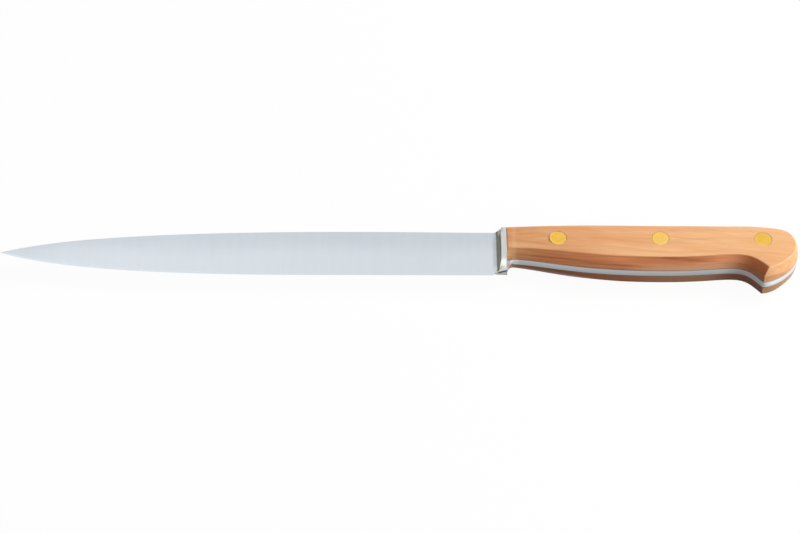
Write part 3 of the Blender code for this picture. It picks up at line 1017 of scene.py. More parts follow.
    def rings(self) -> list[list[Vector]]:
        """Make all the rings.

        Returns:
            The rings, from the tip to the bolster's rear face.
        """
        rings = []
        for i in range(1, self.stations + 1):
            x = self.tip_x + self.blade_length * (i / self.stations) ** self.crowding
            rings.append(self.ring(lambda length, rise, x=x: (x, 0.0)))
        blunt = self.tip_bluntness
        rings.insert(0, [Vector((self.tip_x, mix(self.tip_y, p.y, blunt), blunt * p.z)) for p in rings[0]])
        stages = (
            (self.on_run_out, self.run_out_steps),
            (self.on_wall, self.wall_steps),
            (self.on_crest, self.crest_steps),
            (self.on_land, self.land_steps),
        )
        for stage, steps in stages:
            for i in range(1, steps + 1):
                rings.append(self.ring(partial(stage, i / steps)))
        return rings

    def crest_reach(self, rise: float) -> float:
        """How far the rounding at the land's front edge reaches to each side."""
        return min(self.crest_rounding, self.crest_share * rise)

    def run_out_height(self, rise: float) -> float:
        """How far the surface has risen where the wall starts."""
        return min(self.run_out_rise, self.run_out_share * rise)

    def on_run_out(self, share: float, length: float, rise: float) -> Pair:
        """(x, share of the rise) where the blade's flat curves up towards the bolster's wall."""
        return self.heel_x + min(self.run_out, length) * share, self.run_out_height(rise) / rise * share**2

    def on_wall(self, share: float, length: float, rise: float) -> Pair:
        """Where the surface lies on the wall, which starts at an angle and ends upright.

        Args:
            share: How far along the wall.
            length: Length of the whole fillet at this height.
            rise: Its rise there.

        Returns:
            X and the share of the rise.
        """
        start = Vector((min(self.run_out, length), self.run_out_height(rise)))
        end = Vector((length, rise - self.crest_reach(rise)))
        climb = min((end.x - start.x) * math.tan(self.wall_angle), self.wall_bend_share * (end.y - start.y))
        point = bow(start, Vector((end.x, start.y + climb)), end, share)
        return self.heel_x + point.x, point.y / rise

    def on_crest(self, share: float, length: float, rise: float) -> Pair:
        """(x, share of the rise) on the rounding between fillet and land."""
        reach = self.crest_reach(rise)
        return self.heel_x + length + reach * share**2, 1 - reach / rise * (1 - share) ** 2

    def on_land(self, share: float, length: float, rise: float) -> Pair:
        """(x, share of the rise) on the land, back to the bolster's rear face."""
        return mix(self.heel_x + length + self.crest_reach(rise), 0.0, share), 1.0

    def on_rim(self, edge: bmesh.types.BMEdge) -> bool:
        """Whether an edge is part of the rim of the bolster's rear face."""
        return all(abs(vert.co.x) < MERGE for vert in edge.verts)

    def on_foot(self, edge: bmesh.types.BMEdge) -> bool:
        """Whether an edge is one of the two long ones of the bolster's foot, behind the wall.

        Args:
            edge: The edge.

        Returns:
            True if it is, and it lies away from the foot's middle.
        """
        near, far = (vert.co for vert in edge.verts)
        start = self.heel_x + self.ramp_at_foot
        top = self.foot_y + self.foot_slack
        low = all(start < p.x < -self.rim_rounding and p.y < top for p in (near, far))
        lengthwise = abs(near.x - far.x) > abs(near.z - far.z)
        return low and lengthwise and abs(near.z) > self.foot_thickness / 4

    def on_tang_rim(self, edge: bmesh.types.BMEdge) -> bool:
        """Whether an edge is part of the tang's outline behind the bolster."""
        near, far = (vert.co for vert in edge.verts)
        return near.z * far.z > 0 and min(near.x, far.x) > 0

    def tang(self) -> bpy.types.Object:
        """Make the flat plate between the scales, with its root inside the bolster and a fillet below it.

        Returns:
            The plate.
        """
        shape = self.handle.shape
        stations = shape.waist_stations()
        fillet = [Vector((x, height_at(shape.below, x) - shape.waist_drop(x))) for x in stations]
        underside = [p for p in shape.below if p.x > shape.waist_length]
        root = [
            Vector((-self.root_depth, shape.round_start)),
            Vector((-self.root_depth, self.root_bottom)),
            Vector((-self.foot_lap, self.root_bottom)),
            Vector((-self.foot_lap, fillet[0].y)),
        ]
        shaper = Shaper()
        shaper.extrude(flat([*fillet, *underside, *shape.behind[1:], *root]), shape.tang_thickness)
        shaper.move(lambda p: Vector((p.x, p.y, p.z - shape.tang_half)))
        shaper.round(self.tang_easing, self.easing_steps, self.on_tang_rim)
        return shaper.finish("tang_plate", shape.origin, self.sharp)

    def build(self, cutters: Sequence[bpy.types.Object]) -> bpy.types.Object:
        """Make the whole forging, drilled for the rivets.

        Args:
            cutters: The cutters for the rivets' bores, used up.

        Returns:
            The forging.
        """
        shaper = Shaper()
        shaper.loft(self.rings())
        shaper.round(self.rim_rounding, self.rounding_steps, self.on_rim)
        shaper.round(self.foot_rounding, self.rounding_steps, self.on_foot)
        forging = shaper.finish("forged_blade_steel", self.handle.shape.origin, self.sharp)
        combine(forging, [self.tang()], Boolean.JOIN, self.sharp)
        return combine(forging, cutters, Boolean.CUT, self.sharp)


@dataclass
class Scale:
    """One wooden half of the handle."""

    handle: HandleBlock
    side: Side
    upper_waist: float = 0.12
    lower_waist: float = 0.95
    seam: float = 0.16
    front_seam: float = 0.1
    sharp: float = 30.0

    @property
    def node(self) -> str:
        """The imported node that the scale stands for."""
        return f"{self.side.name.lower()}_scale"

    def build(self, cutters: Sequence[bpy.types.Object]) -> bpy.types.Object:
        """Make the scale, drilled for the rivets.

        Args:
            cutters: The cutters for the rivets' bores, used up.

        Returns:
            The scale.
        """
        shape = self.handle.shape
        waist = self.upper_waist if self.side is Side.UPPER else self.lower_waist
        shaper = self.handle.half(shape.tang_half + self.seam, self.front_seam, waist)
        bmesh.ops.scale(shaper.bm, verts=shaper.bm.verts, vec=(1, 1, self.side.value))
        scale = shaper.finish(f"{self.node}_wood", shape.origin, self.sharp)
        return combine(scale, cutters, Boolean.CUT, self.sharp)


@dataclass(frozen=True)
class Rivet:
    """One cutler's rivet: a hollow half with its head on the upper cheek, and a solid half from below."""

    shape: HandleShape
    x: float
    y: float
    head_diameter: float = 7.2
    head_thickness: float = 2.2
    sleeve_diameter: float = 5.2
    pin_diameter: float = 3.2
    press_gap: float = 0.15
    head_gap: float = 0.09
    bore_gap: float = 0.1
    end_room: float = 1.2
    chamfer: float = 0.1
    overrun: float = 3.0
    rim_rings: tuple[float, ...] = (0.92, 0.7, 0.45, 0.2)
    facets: int = 96
    sharp: float = 30.0

    @property
    def face(self) -> float:
        """Z of the head's face at its centre, flush with the cheek."""
        return self.shape.taper(self.shape.cheek, self.x)

    @property
    def seat(self) -> float:
        """Z of the head's seat in the wood."""
        return self.face - self.head_thickness

    def flush(self, point: Vector) -> Vector:
        """Set a point of the turned body in its place, with the heads' faces flush with the cheeks.

        Args:
            point: The point, with the rivet's axis at X 0 and Y 0.

        Returns:
            Where it lies in the handle.
        """
        shift = 0.0
        if abs(point.z) >= self.face - 2 * self.chamfer:
            shift = self.shape.taper(self.shape.cheek, self.x + point.x) - self.face
        return Vector((point.x + self.x, point.y + self.y, point.z + math.copysign(shift, point.z)))

    def turned(self, profile: Sequence[Pair], name: str) -> bpy.types.Object:
        """Turn a (radius, z) profile and set it in its place in the handle.

        Args:
            profile: The profile's points, which start and end on the axis.
            name: The body's name.

        Returns:
            The body.
        """
        shaper = Shaper()
        shaper.turn(profile, self.facets)
        shaper.move(self.flush)
        return shaper.finish(name, self.shape.origin, self.sharp)

    @staticmethod
    def mirrored(profile: Sequence[Pair]) -> list[Pair]:
        """A (radius, z) profile of the other cheek's side, which starts where this one ends."""
        return [(radius, -z) for radius, z in reversed(profile)]

    def bore(self, name: str) -> bpy.types.Object:
        """A cutter for the shank and both heads, to be used up by one piece.

        Args:
            name: The cutter's name.

        Returns:
            The cutter.
        """
        head = self.head_diameter / 2 + self.head_gap
        shank = self.sleeve_diameter / 2 + self.bore_gap
        seat = self.seat - self.bore_gap
        end = self.shape.cheek + self.overrun
        upper = [(shank, seat), (head, seat), (head, end), (0, end)]
        return self.turned(self.mirrored(upper) + upper, name)

    def head(self) -> list[Pair]:
        """Draw a head from its seat over its chamfered rim to the middle of its face.

        Returns:
            The profile's points, as (radius, z).
        """
        radius = self.head_diameter / 2
        rim = [(radius, self.seat), (radius, self.face - self.chamfer), (radius - self.chamfer, self.face)]
        return [*rim, *((radius * share, self.face) for share in self.rim_rings), (0, self.face)]

    def sleeve(self, name: str) -> bpy.types.Object:
        """The hollow half.

        Args:
            name: Its name.

        Returns:
            The sleeve.
        """
        outer = self.sleeve_diameter / 2
        bore = self.pin_diameter / 2 + self.press_gap
        mouth = self.end_room - self.seat
        inside = [(0, self.seat), (bore, self.seat), (bore, mouth), (outer, mouth), (outer, self.seat)]
        return self.turned(inside + self.head(), name)

    def pin(self, name: str) -> bpy.types.Object:
        """The solid half.

        Args:
            name: Its name.

        Returns:
            The pin.
        """
        radius = self.pin_diameter / 2
        end = self.seat - self.end_room
        return self.turned([*self.mirrored(self.head()), (radius, -self.seat), (radius, end), (0, end)], name)


@dataclass(frozen=True)
class Mask:
    """Where along a direction a finish changes, and how strongly.

    Args:
        span: Where the mask is 0 and where it is full, and where it starts to fade and is 0 again if it does.
        strength: What it is where it is full.
    """

    span: Pair | tuple[float, float, float, float]
    strength: float = 1.0


@dataclass(frozen=True)
class Grain:
    """Noise that lies the way a surface was worked or has grown.

    Args:
        cells: Its cells per millimetre along X, Y and Z.
        strength: How much of it goes into the finish.
        detail: How many finer layers it has.
        roughness: How strong the finer layers are.
    """

    cells: Triple
    strength: float = 1.0
    detail: float = 2.0
    roughness: float = 0.5


class Wire:
    """A number in a shader. Python's operators on it add Math nodes."""

    def __init__(self, graph: "ShaderGraph", socket: bpy.types.NodeSocket) -> None:
        """Wrap an output socket of a graph."""
        self.graph = graph
        self.socket = socket

    def math(self, operation: str, *others: "Wire | float") -> "Wire":
        """Apply a Math node's operation to this value and others."""
        return self.graph.node("ShaderNodeMath", dict(enumerate((self, *others))), operation=operation)

    def __add__(self, other: "Wire | float") -> "Wire":
        """Sum."""
        return self.math("ADD", other)

    __radd__ = __add__

    def __mul__(self, other: "Wire | float") -> "Wire":
        """Product."""
        return self.math("MULTIPLY", other)

    __rmul__ = __mul__

    def __sub__(self, other: "Wire | float") -> "Wire":
        """Difference."""
        return self.math("SUBTRACT", other)

    def __rsub__(self, other: float) -> "Wire":
        """Difference from a number."""
        return self.graph.node("ShaderNodeMath", {0: other, 1: self}, operation="SUBTRACT")

    def __truediv__(self, other: "Wire | float") -> "Wire":
        """Quotient."""
        return self.math("DIVIDE", other)

    def swell(self) -> "Wire":
        """The sine of a quarter turn times this share: it only ends gently."""
        return (self * (math.pi / 2)).math("SINE")

    def smooth(self, none: float, full: float, step: Step = Step.GENTLE) -> "Wire":
        """0 below none and 1 above full, or the other way round where none is the greater.

        Args:
            none: Where it is 0.
            full: Where it is 1.
            step: How it changes between the two.

        Returns:
            The share.
        """
        start, end = (0.0, 1.0) if none < full else (1.0, 0.0)
        span = {"From Min": min(none, full), "From Max": max(none, full), "To Min": start, "To Max": end}
        return self.graph.node("ShaderNodeMapRange", {"Value": self, **span}, interpolation_type=step.value)

    def mask(self, mask: Mask) -> "Wire":
        """How strong a mask is where this value lies.

        Args:
            mask: The mask.

        Returns:
            Its strength there.
        """
        none, full, *fading = mask.span
        share = self.smooth(none, full)
        if fading:
            share = share * self.smooth(*reversed(fading))
        return share * mask.strength


Point = tuple[Wire, Wire, Wire]


class ShaderGraph:
    """The nodes of a material or a world, written as expressions."""

    def __init__(self, owner: bpy.types.Material | bpy.types.World) -> None:
        """Start with the nodes that Blender gives the owner.

        Args:
            owner: What the nodes belong to.
        """
        owner.use_nodes = True
        self.owner = owner
        self.tree = owner.node_tree

    def node(
        self,
        kind: str,
        values: Mapping[str | int, object] | None = None,
        output: str | int = 0,
        **settings: object,
    ) -> Wire:
        """Add a node.

        Args:
            kind: Its type.
            values: Numbers, colours or wires for its input sockets.
            output: The socket to return.
            settings: Its own settings, set first.

        Returns:
            The output, as a wire.
        """
        made = self.tree.nodes.new(kind)
        for name, value in settings.items():
            setattr(made, name, value)
        for key, value in (values or {}).items():
            self.feed(made.inputs[key], value)
        return Wire(self, made.outputs[output])

    def feed(self, socket: bpy.types.NodeSocket, value: object) -> None:
        """Link a wire to a socket, or set a constant on it.

        Args:
            socket: The input socket.
            value: A wire, a number or a colour.
        """
        if isinstance(value, Wire):
            self.tree.links.new(value.socket, socket)
        elif socket.type == "RGBA":
            socket.default_value = (*value, 1.0)
        else:
            socket.default_value = value

    def set(self, shader: str, **values: object) -> None:
        """Feed one of the owner's first nodes, with underscores for the blanks in its sockets' names."""
        for name, value in values.items():
            self.feed(self.tree.nodes[shader].inputs[name.replace("_", " ")], value)

    def millimetres(self, origin: Vector) -> Point:
        """X, Y and Z of the shaded point in millimetres, counted from this place in the world.

        Args:
            origin: That place, in millimetres.

        Returns:
            The three numbers.
        """
        place = self.node("ShaderNodeTexCoord", output="Object")
        scaled = self.node("ShaderNodeVectorMath", {0: place, "Scale": 1 / MM}, operation="SCALE")
        axes = zip("XYZ", origin)
        return tuple(self.node("ShaderNodeSeparateXYZ", {0: scaled}, axis) - start for axis, start in axes)

    def noise(self, place: Point, grain: Grain) -> Wire:
        """Noise from -0.5 to 0.5 with the cells of a grain.

        Args:
            place: The shaded point.
            grain: The grain.

        Returns:
            The noise there.
        """
        stretched = {axis: part * cells for axis, (part, cells) in enumerate(zip(place, grain.cells))}
        vector = self.node("ShaderNodeCombineXYZ", stretched)
        fineness = {"Scale": 1.0, "Detail": grain.detail, "Roughness": grain.roughness}
        return self.node("ShaderNodeTexNoise", {"Vector": vector, **fineness}) - 0.5

    def blend(self, a: Wire | Colour, b: Wire | Colour, share: Wire | float, how: Blend = Blend.OVER) -> Wire:
        """Lay colour b over colour a."""
        settings = {"data_type": "RGBA", "blend_type": how.value, "clamp_factor": True}
        return self.node("ShaderNodeMix", {0: share, 6: a, 7: b}, 2, **settings)

    def bump(self, height: Wire, strength: float, distance: float) -> Wire:
        """A normal from a height in shares of distance, which is in millimetres."""
        values = {"Height": height, "Strength": strength, "Distance": distance * MM}
        return self.node("ShaderNodeBump", values)

    def glow(self, strength: float) -> Wire:
        """White light that a surface gives off."""
        return self.node("ShaderNodeEmission", {"Color": WHITE, "Strength": strength})

    def seen(self) -> Wire:
        """Tell what is looked at, also in a mirror or through glass, from what only lights.

        Returns:
            1 where the surface is looked at, and 0 where it only lights.
        """
        kinds = ("Camera", "Glossy", "Transmission")
        rays = [self.node("ShaderNodeLightPath", output=f"Is {kind} Ray") for kind in kinds]
        return rays[0].math("MAXIMUM", rays[1]).math("MAXIMUM", rays[2])


@dataclass(frozen=True)
class KnifeSteel:
    """Stainless steel: the blade satin-ground across, the bolster polished, the tang ground lengthwise.

    Along the bolster, masks count from the heel, at its corners from the wall's front or rear, and over
    its foot from the facet's edge. Much of the colour over the heel, the bolster and the tang is painted
    shade and painted highlight.
    """

    forging: Forging
    # Spine and edge colours: the blade is painted paler towards its edge, as a painted reflection.
    towards_spine: Colour = (0.605, 0.655, 0.705)
    towards_edge: Colour = (0.68, 0.735, 0.785)
    bolster: Colour = (0.63, 0.64, 0.61)
    # Painted shade: the bolster's steep wall is painted darker and khaki, as a dark reflection.
    wall: Colour = (0.55, 0.53, 0.44)
    tang: Colour = (0.37, 0.38, 0.385)
    # Painted highlight: the tang's ends are painted paler than its middle.
    tang_ends_painted_highlight: Colour = (0.80, 0.81, 0.81)
    # Painted shade: the tang is tinted darker and brownish in the hollow before the beak.
    hollow: Colour = (0.62, 0.54, 0.54)
    across: Grain = Grain((5.0, 0.10, 0.10), 0.10, 3.0, 0.6)
    hand: Grain = Grain((2.2, 0.12, 0.12), 0.12)
    along: Grain = Grain((0.06, 0.5, 5.0), 0.12, 3.0, 0.6)
    wide: Grain = Grain((0.35, 0.03, 0.03), 0.06)
    clouds: Grain = Grain((0.03, 0.12, 0.1), 0.5)
    roughness: Triple = (0.30, 0.26, 0.32)
    uneven_roughness: float = 0.05
    scratch_strength: float = 0.25
    scratch_depth: float = 0.01
    on_bolster: Mask = Mask((1.2, 2.1))
    on_tang: Mask = Mask((-0.1, 0.1))
    edge_painted_reflection: Mask = Mask((21.0, 9.0))
    base_level: float = 0.97
    tip_painted_highlight: Mask = Mask((-20.0, -205.0), 0.12)
    # Painted shade on the blade's heel, in front of the bolster's fillet.
    heel: Mask = Mask((-0.4, 1.4), 0.2)
    heel_height: Mask = Mask((2.0, 6.0, 16.0, 25.0))
    foot: Mask = Mask((1.6, 3.0), 0.37)
    foot_height: Mask = Mask((2.3, 0.4))
    # Painted shade along the crease over the bolster's foot and on the facet under it.
    crease: Mask = Mask((0.3, 1.3), 0.55)
    crease_height: Mask = Mask((-0.02, 0.08, 0.3, 0.55))
    facet: Mask = Mask((1.5, 3.0), 0.34)
    facet_height: Mask = Mask((0.0, -0.15))
    wall_height: Mask = Mask((0.8, 1.5))
    wall_front: Mask = Mask((-0.1, 0.1))
    wall_rear: Mask = Mask((0.3, 0.1))
    # Painted shade over the bolster's corners, top, rim and foot.
    front_corner_painted_shade: Mask = Mask((-0.45, -0.1, 0.3, 0.8), 0.36)
    rear_corner_painted_shade: Mask = Mask((-0.5, -0.1, 0.05, 0.2), 0.3)
    top_corner_painted_shade: Mask = Mask((-0.2, 0.3, 0.6, 3.4), 0.44)
    top_height: Mask = Mask((18.5, 20.5))
    rim: Mask = Mask((-0.75, -0.2), 0.35)
    rim_height: Mask = Mask((2.0, 3.0, 6.5, 9.0))
    under_top: Mask = Mask((23.0, 19.0))
    painted_highlights: tuple[Mask, ...] = (Mask((6.0, 3.0), 0.3), Mask((3.2, 0.8), 0.6), Mask((105.0, 112.0)))
    hollow_painted_shade: Mask = Mask((88.0, 100.0, 106.5, 108.5))
    tang_painted_slope: float = 0.1
    lower_edge_painted_shade: Mask = Mask((-1.2, -1.6), 0.45)
    upper_edge_painted_shade: Mask = Mask((1.4, 1.65), 0.35)
    root_corner_painted_shade: Mask = Mask((3.6, 1.6), 0.55)
    root_corner_side: Mask = Mask((0.2, -1.3))

    def build(self) -> bpy.types.Material:
        """Make the material.

        Returns:
            The material.
        """
        graph = ShaderGraph(bpy.data.materials.new("knife_steel"))
        place = graph.millimetres(self.forging.handle.shape.origin)
        x, y, _ = place
        behind = x - self.forging.heel_x
        on_bolster = behind.mask(self.on_bolster)
        on_tang = x.mask(self.on_tang)
        shares = (1 - on_bolster, on_bolster * (1 - on_tang), on_tang)
        grains = (self.across, self.hand, self.along, self.wide, self.clouds)
        across, hand, along, wide, clouds = (graph.noise(place, grain) for grain in grains)
        # Painted reflection: paler towards the cutting edge, with random clouds.
        edge_painted_reflection = y.mask(self.edge_painted_reflection) + clouds * self.clouds.strength
        blade = graph.blend(self.towards_spine, self.towards_edge, edge_painted_reflection)
        # The wall's painted shade over the bolster's colour.
        bolster = graph.blend(self.bolster, self.wall, self.on_wall(behind, y))
        colour = graph.blend(graph.blend(blade, bolster, on_bolster), self.tang_colour(graph, x, y), on_tang)
        levels = (
            across * self.across.strength + wide * self.wide.strength + self.blade_painted_light(behind, place),
            hand * self.hand.strength - self.bolster_painted_shade(behind, place) + 1.0,
            along * self.along.strength + self.tang_painted_light(place),
        )
        level = self.joined(levels, shares) - self.foot_shade(behind, y) * (1 - on_tang)
        scratches = self.joined((across, hand, along), shares)
        graph.set(
            "Principled BSDF",
            Base_Color=graph.blend(colour, level, 1.0, Blend.TINT),
            Roughness=self.joined(self.roughness, shares) + (across + along) * self.uneven_roughness,
            Metallic=1.0,
            Normal=graph.bump(scratches, self.scratch_strength, self.scratch_depth),
        )
        return graph.owner

    @staticmethod
    def joined(values: Iterable[Wire | float], shares: Point) -> Wire:
        """One value from those of the blade, the bolster and the tang, each where its part is."""
        return sum(value * share for value, share in zip(values, shares))

    def tang_colour(self, graph: ShaderGraph, x: Wire, y: Wire) -> Wire:
        """The tang's edge: painted paler at its ends, a painted highlight, and darker in the hollow before the
        beak, a painted shade.

        Args:
            graph: The material's nodes.
            x: The shaded point's X.
            y: Its Y.

        Returns:
            The colour.
        """
        below_top = y.mask(self.under_top)
        tang = graph.blend(self.tang, self.tang_ends_painted_highlight, sum(x.mask(mask) for mask in self.painted_highlights) * below_top)
        return graph.blend(tang, self.hollow, x.mask(self.hollow_painted_shade) * below_top, Blend.TINT)

    def blade_painted_light(self, behind: Wire, place: Point) -> Wire:
        """How bright the blade is painted: a painted highlight towards the tip and painted shade at the heel.
        """
        x, y, _ = place
        return x.mask(self.tip_painted_highlight) - behind.mask(self.heel) * y.mask(self.heel_height) + self.base_level

    def tang_painted_light(self, place: Point) -> Wire:
        """How bright the tang is painted: painted shade towards its edges, towards its lower side and in the
        corner behind the bolster.

        Args:
            place: The shaded point.

        Returns:
            The level.
        """
        x, y, z = place
        corner = z.mask(self.root_corner_side) * x.mask(self.root_corner_painted_shade) * y.mask(self.under_top)
        return z * self.tang_painted_slope - z.mask(self.lower_edge_painted_shade) - z.mask(self.upper_edge_painted_shade) - corner + 1.0

    def bolster_painted_shade(self, behind: Wire, place: Point) -> Wire:
        """How much darker the bolster is painted at its foot, its rear rim and over its corners: painted
        shade.

        Args:
            behind: The shaded point's distance behind the heel.
            place: The point.

        Returns:
            What comes off the level.
        """
        x, y, _ = place
        from_wall = behind - self.forging.run_out
        above = self.above_foot(behind, y)
        corners = from_wall.mask(self.front_corner_painted_shade) + self.past_wall(behind, y).mask(self.rear_corner_painted_shade)
        top = y.mask(self.top_height) * from_wall.mask(self.top_corner_painted_shade)
        rim = x.mask(self.rim) * y.mask(self.rim_height)
        foot = above.mask(self.foot_height) * behind.mask(self.foot)
        return corners * above.mask(self.wall_height) + top + rim + foot

    def foot_shade(self, behind: Wire, y: Wire) -> Wire:
        """How much darker the crease over the bolster's foot and the facet under it are painted: painted
        shade.

        Args:
            behind: The shaded point's distance behind the heel.
            y: Its Y.

        Returns:
            What comes off the level.
        """
        above = self.above_foot(behind, y)
        crease = above.mask(self.crease_height) * behind.mask(self.crease)
        return crease + above.mask(self.facet_height) * behind.mask(self.facet)

    def past_wall(self, behind: Wire, y: Wire) -> Wire:
        """How far a point lies behind the wall's rear end, which runs forward at the foot.

        Args:
            behind: The shaded point's distance behind the heel.
            y: Its Y.

        Returns:
            How far.
        """
        shape = self.forging
        sweep = y.smooth(shape.foot_y, shape.foot_y + shape.ramp_sweep, Step.EVEN).swell()
        return behind - sweep * (shape.ramp_length - shape.ramp_at_foot) - shape.ramp_at_foot

    def on_wall(self, behind: Wire, y: Wire) -> Wire:
        """1 on the steep wall between the blade's flat and the bolster's land, which is painted darker as
        painted shade.

        Args:
            behind: The shaded point's distance behind the heel.
            y: Its Y.

        Returns:
            The share of the wall's painted shade.
        """
        front = (behind - self.forging.run_out).mask(self.wall_front)
        rear = self.past_wall(behind, y).mask(self.wall_rear)
        return front * rear * self.above_foot(behind, y).mask(self.wall_height)

    def above_foot(self, behind: Wire, y: Wire) -> Wire:
        """Height above the edge of the facet under the bolster's foot.

        Args:
            behind: The shaded point's distance behind the heel.
            y: Its Y.

        Returns:
            The height.
        """
        shape = self.forging
        rise = shape.foot_y - shape.edge_at_heel
        lift = behind.smooth(0.0, shape.bolster_length, Step.EVEN).swell()
        bevel = 1 - behind.smooth(0.0, shape.ramp_at_foot, Step.EVEN).swell()
        return y - shape.edge_at_heel - lift * rise - bevel * shape.bevel_height


@dataclass(frozen=True)
class Underside:
    """Masks of the handle's underside, which is painted redder and darker than the cheeks, partly as painted
    shade.

    Args:
        depth: Millimetres below the cheek.
        under: 1 below the cheeks as far as the beak's ridge, and less behind the bolster.
        painted_light_and_coat: 1 on the lowest part of the belly and the hollow, which is painted paler as
            painted light and carries the coat.
        far: How much of the lower scale's underside it is, which is painted darker as painted shade.
        crease_painted_highlight: How strong the painted highlight along the crease behind the beak is.
    """

    depth: Wire
    under: Wire
    painted_light_and_coat: Wire
    far: Wire
    crease_painted_highlight: Wire


@dataclass(frozen=True)
class FruitWood:
    """Fine-grained fruit wood, sanded and oiled, with its grain along the handle.

    Masks along the handle count from the bolster's rear face, and depths from the cheek.
    """

    shape: HandleShape
    pale: Colour = (0.94, 0.54, 0.27)
    warm: Colour = (0.80, 0.35, 0.14)
    dark: Colour = (0.42, 0.13, 0.04)
    # Painted highlight along the crease behind the beak.
    crease_painted_highlight: Colour = (1.0, 0.66, 0.42)
    # Painted shade over the underside at the beak's front and the hollow before it.
    beak_painted_shade: Colour = (0.53, 0.42, 0.33)
    # The underside below the cheeks is painted redder and darker, partly as painted shade.
    underside: Colour = (1.0, 0.71, 0.63)
    # Painted shade on the lower scale's underside, darker still towards the front.
    far_underside_painted_shade: Colour = (0.44, 0.46, 0.53)
    far_front_painted_shade: Colour = (0.62, 0.64, 0.64)
    sway: Grain = Grain((0.015, 0.07, 0.09), 4.0)
    broad: Grain = Grain((0.012, 0.12, 0.12))
    streaks: Grain = Grain((0.035, 0.55, 0.55), 1.3, 3.0, 0.55)
    threads: Grain = Grain((0.06, 1.2, 1.2), 1.0, 2.0, 0.6)
    fibres: Grain = Grain((0.12, 3.2, 3.2), 0.30, 3.0, 0.6)
    pores: Grain = Grain((0.35, 6.5, 6.5), 0.12, 1.0)
    open_pores: Mask = Mask((0.16, 0.28))
    slant: float = 0.10
    ring_spacing: float = 1.9
    ring_tilt: float = math.radians(14)
    late_wood: Mask = Mask((0.45, 0.9, 0.93, 1.0))
    late_wood_patches: Mask = Mask((-0.15, 0.15))
    late_wood_level: float = 0.16
    late_wood_under: float = 0.1
    tone: float = 0.30
    # Painted light: the wood is painted paler towards the butt.
    paler_rear_painted_light: Mask = Mask((-10.0, 110.0), 0.45)
    # Painted highlight: a pale band a little behind the bolster.
    painted_highlight_band: Mask = Mask((1.8, 2.8, 3.4, 4.2), 0.3)
    roughness: float = 0.42
    uneven_roughness: float = 0.2
    gloss: float = 0.2
    oil_roughness: float = 0.5
    below_cheek: Mask = Mask((0.04, 0.4))
    lower_side: Mask = Mask((14.0, 11.0))
    before_ridge: Mask = Mask((0.4, -0.2))
    behind_ridge: Mask = Mask((0.2, 0.6), 0.5)
    rising: tuple[Mask, ...] = (Mask((1.8, 5.0), 0.5), Mask((3.0, 16.0), 0.5))
    # Painted light: the lowest part of the underside is painted paler, with fainter lines; the coat lies there
    # too.
    painted_light_depth: Mask = Mask((2.2, 3.6))
    painted_light_stretch: Mask = Mask((46.0, 66.0))
    painted_light_hollow: Mask = Mask((88.0, 100.0), 0.5)
    painted_light_tone: float = 0.6
    painted_light_tint: float = 0.45
    painted_light_lines: float = 0.7
    far_side_painted_shade: Mask = Mask((-1.0, -2.5), 0.5)
    far_front_stretch: Mask = Mask((34.0, 14.0))
    beak_shade_stretch: Mask = Mask((88.0, 104.0))
    beak_shade_lead: float = 6.0
    beak_shade_lines: Mask = Mask((92.0, 103.0), 0.1)
    highlight_depth: Mask = Mask((0.0, 0.06, 0.35, 0.7))
    highlight_height: Mask = Mask((8.0, 4.0))
    # Painted shade just below the crease.
    crease: Mask = Mask((1.1, 0.2), 0.26)
    front_end: Mask = Mask((0.9, 0.4), 0.35)
    front_streak: Mask = Mask((-0.9, -0.05, 0.05, 0.7))
    front_streak_line: Pair = (2.45, 0.022)
    front_streak_stretch: Mask = Mask((64.0, 46.0), 0.4)
    front_streak_level: float = 0.8
    rear_streak: Mask = Mask((-0.5, 0.0, 0.1, 0.5))
    rear_streak_line: Pair = (-4.4, 0.075)
    rear_streak_stretch: Mask = Mask((62.0, 70.0, 86.0, 99.0), 0.3)
    band: Mask = Mask((2.9, 1.5))
    band_stretch: Mask = Mask((44.0, 68.0, 78.0, 97.0), 0.5)
    seam: Mask = Mask((2.2, 1.9), 0.2)
    top_edge: Mask = Mask((23.2, 24.3), 0.2)
    oiled_side: Mask = Mask((-0.5, 0.5))
    oiled_stretch: Mask = Mask((102.0, 90.0))
    fibre_height: float = 0.6
    pore_height: float = 0.5
    relief_strength: float = 0.2
    relief_depth: float = 0.02

    def build(self) -> bpy.types.Material:
        """Make the material.

        Returns:
            The material.
        """
        graph = ShaderGraph(bpy.data.materials.new("fruit_wood"))
        x, y, z = graph.millimetres(self.shape.origin)
        grown = (x, y + x * self.slant, z)
        masks = self.masks(x, y, z)
        grains = (self.sway, self.threads, self.streaks, self.broad, self.fibres, self.pores)
        sway, threads, streaks, broad, fibres, pores = (graph.noise(grown, grain) for grain in grains)
        pores = pores.mask(self.open_pores)
        tone = streaks * self.streaks.strength + broad + threads + x.mask(self.paler_rear_painted_light) + self.tone
        late = self.late(grown, sway) * broad.mask(self.late_wood_patches)
        lines = late * (masks.under * self.late_wood_under + self.late_wood_level)
        lines = lines - fibres * self.fibres.strength + pores * self.pores.strength
        lines = self.darkened(lines, streaks, masks, (x, y, z))
        colour = graph.blend(self.ground(graph, x, tone, masks), self.dark, lines)
        relief = fibres * self.fibre_height - pores * self.pore_height
        graph.set(
            "Principled BSDF",
            Base_Color=graph.blend(colour, self.crease_painted_highlight, masks.crease_painted_highlight),
            Roughness=fibres * self.uneven_roughness + self.roughness,
            Specular_IOR_Level=self.gloss,
            Coat_Weight=masks.painted_light_and_coat * masks.under * z.mask(self.oiled_side) * x.mask(self.oiled_stretch),
            Coat_Roughness=self.oil_roughness,
            Normal=graph.bump(relief, self.relief_strength, self.relief_depth),
        )
        return graph.owner

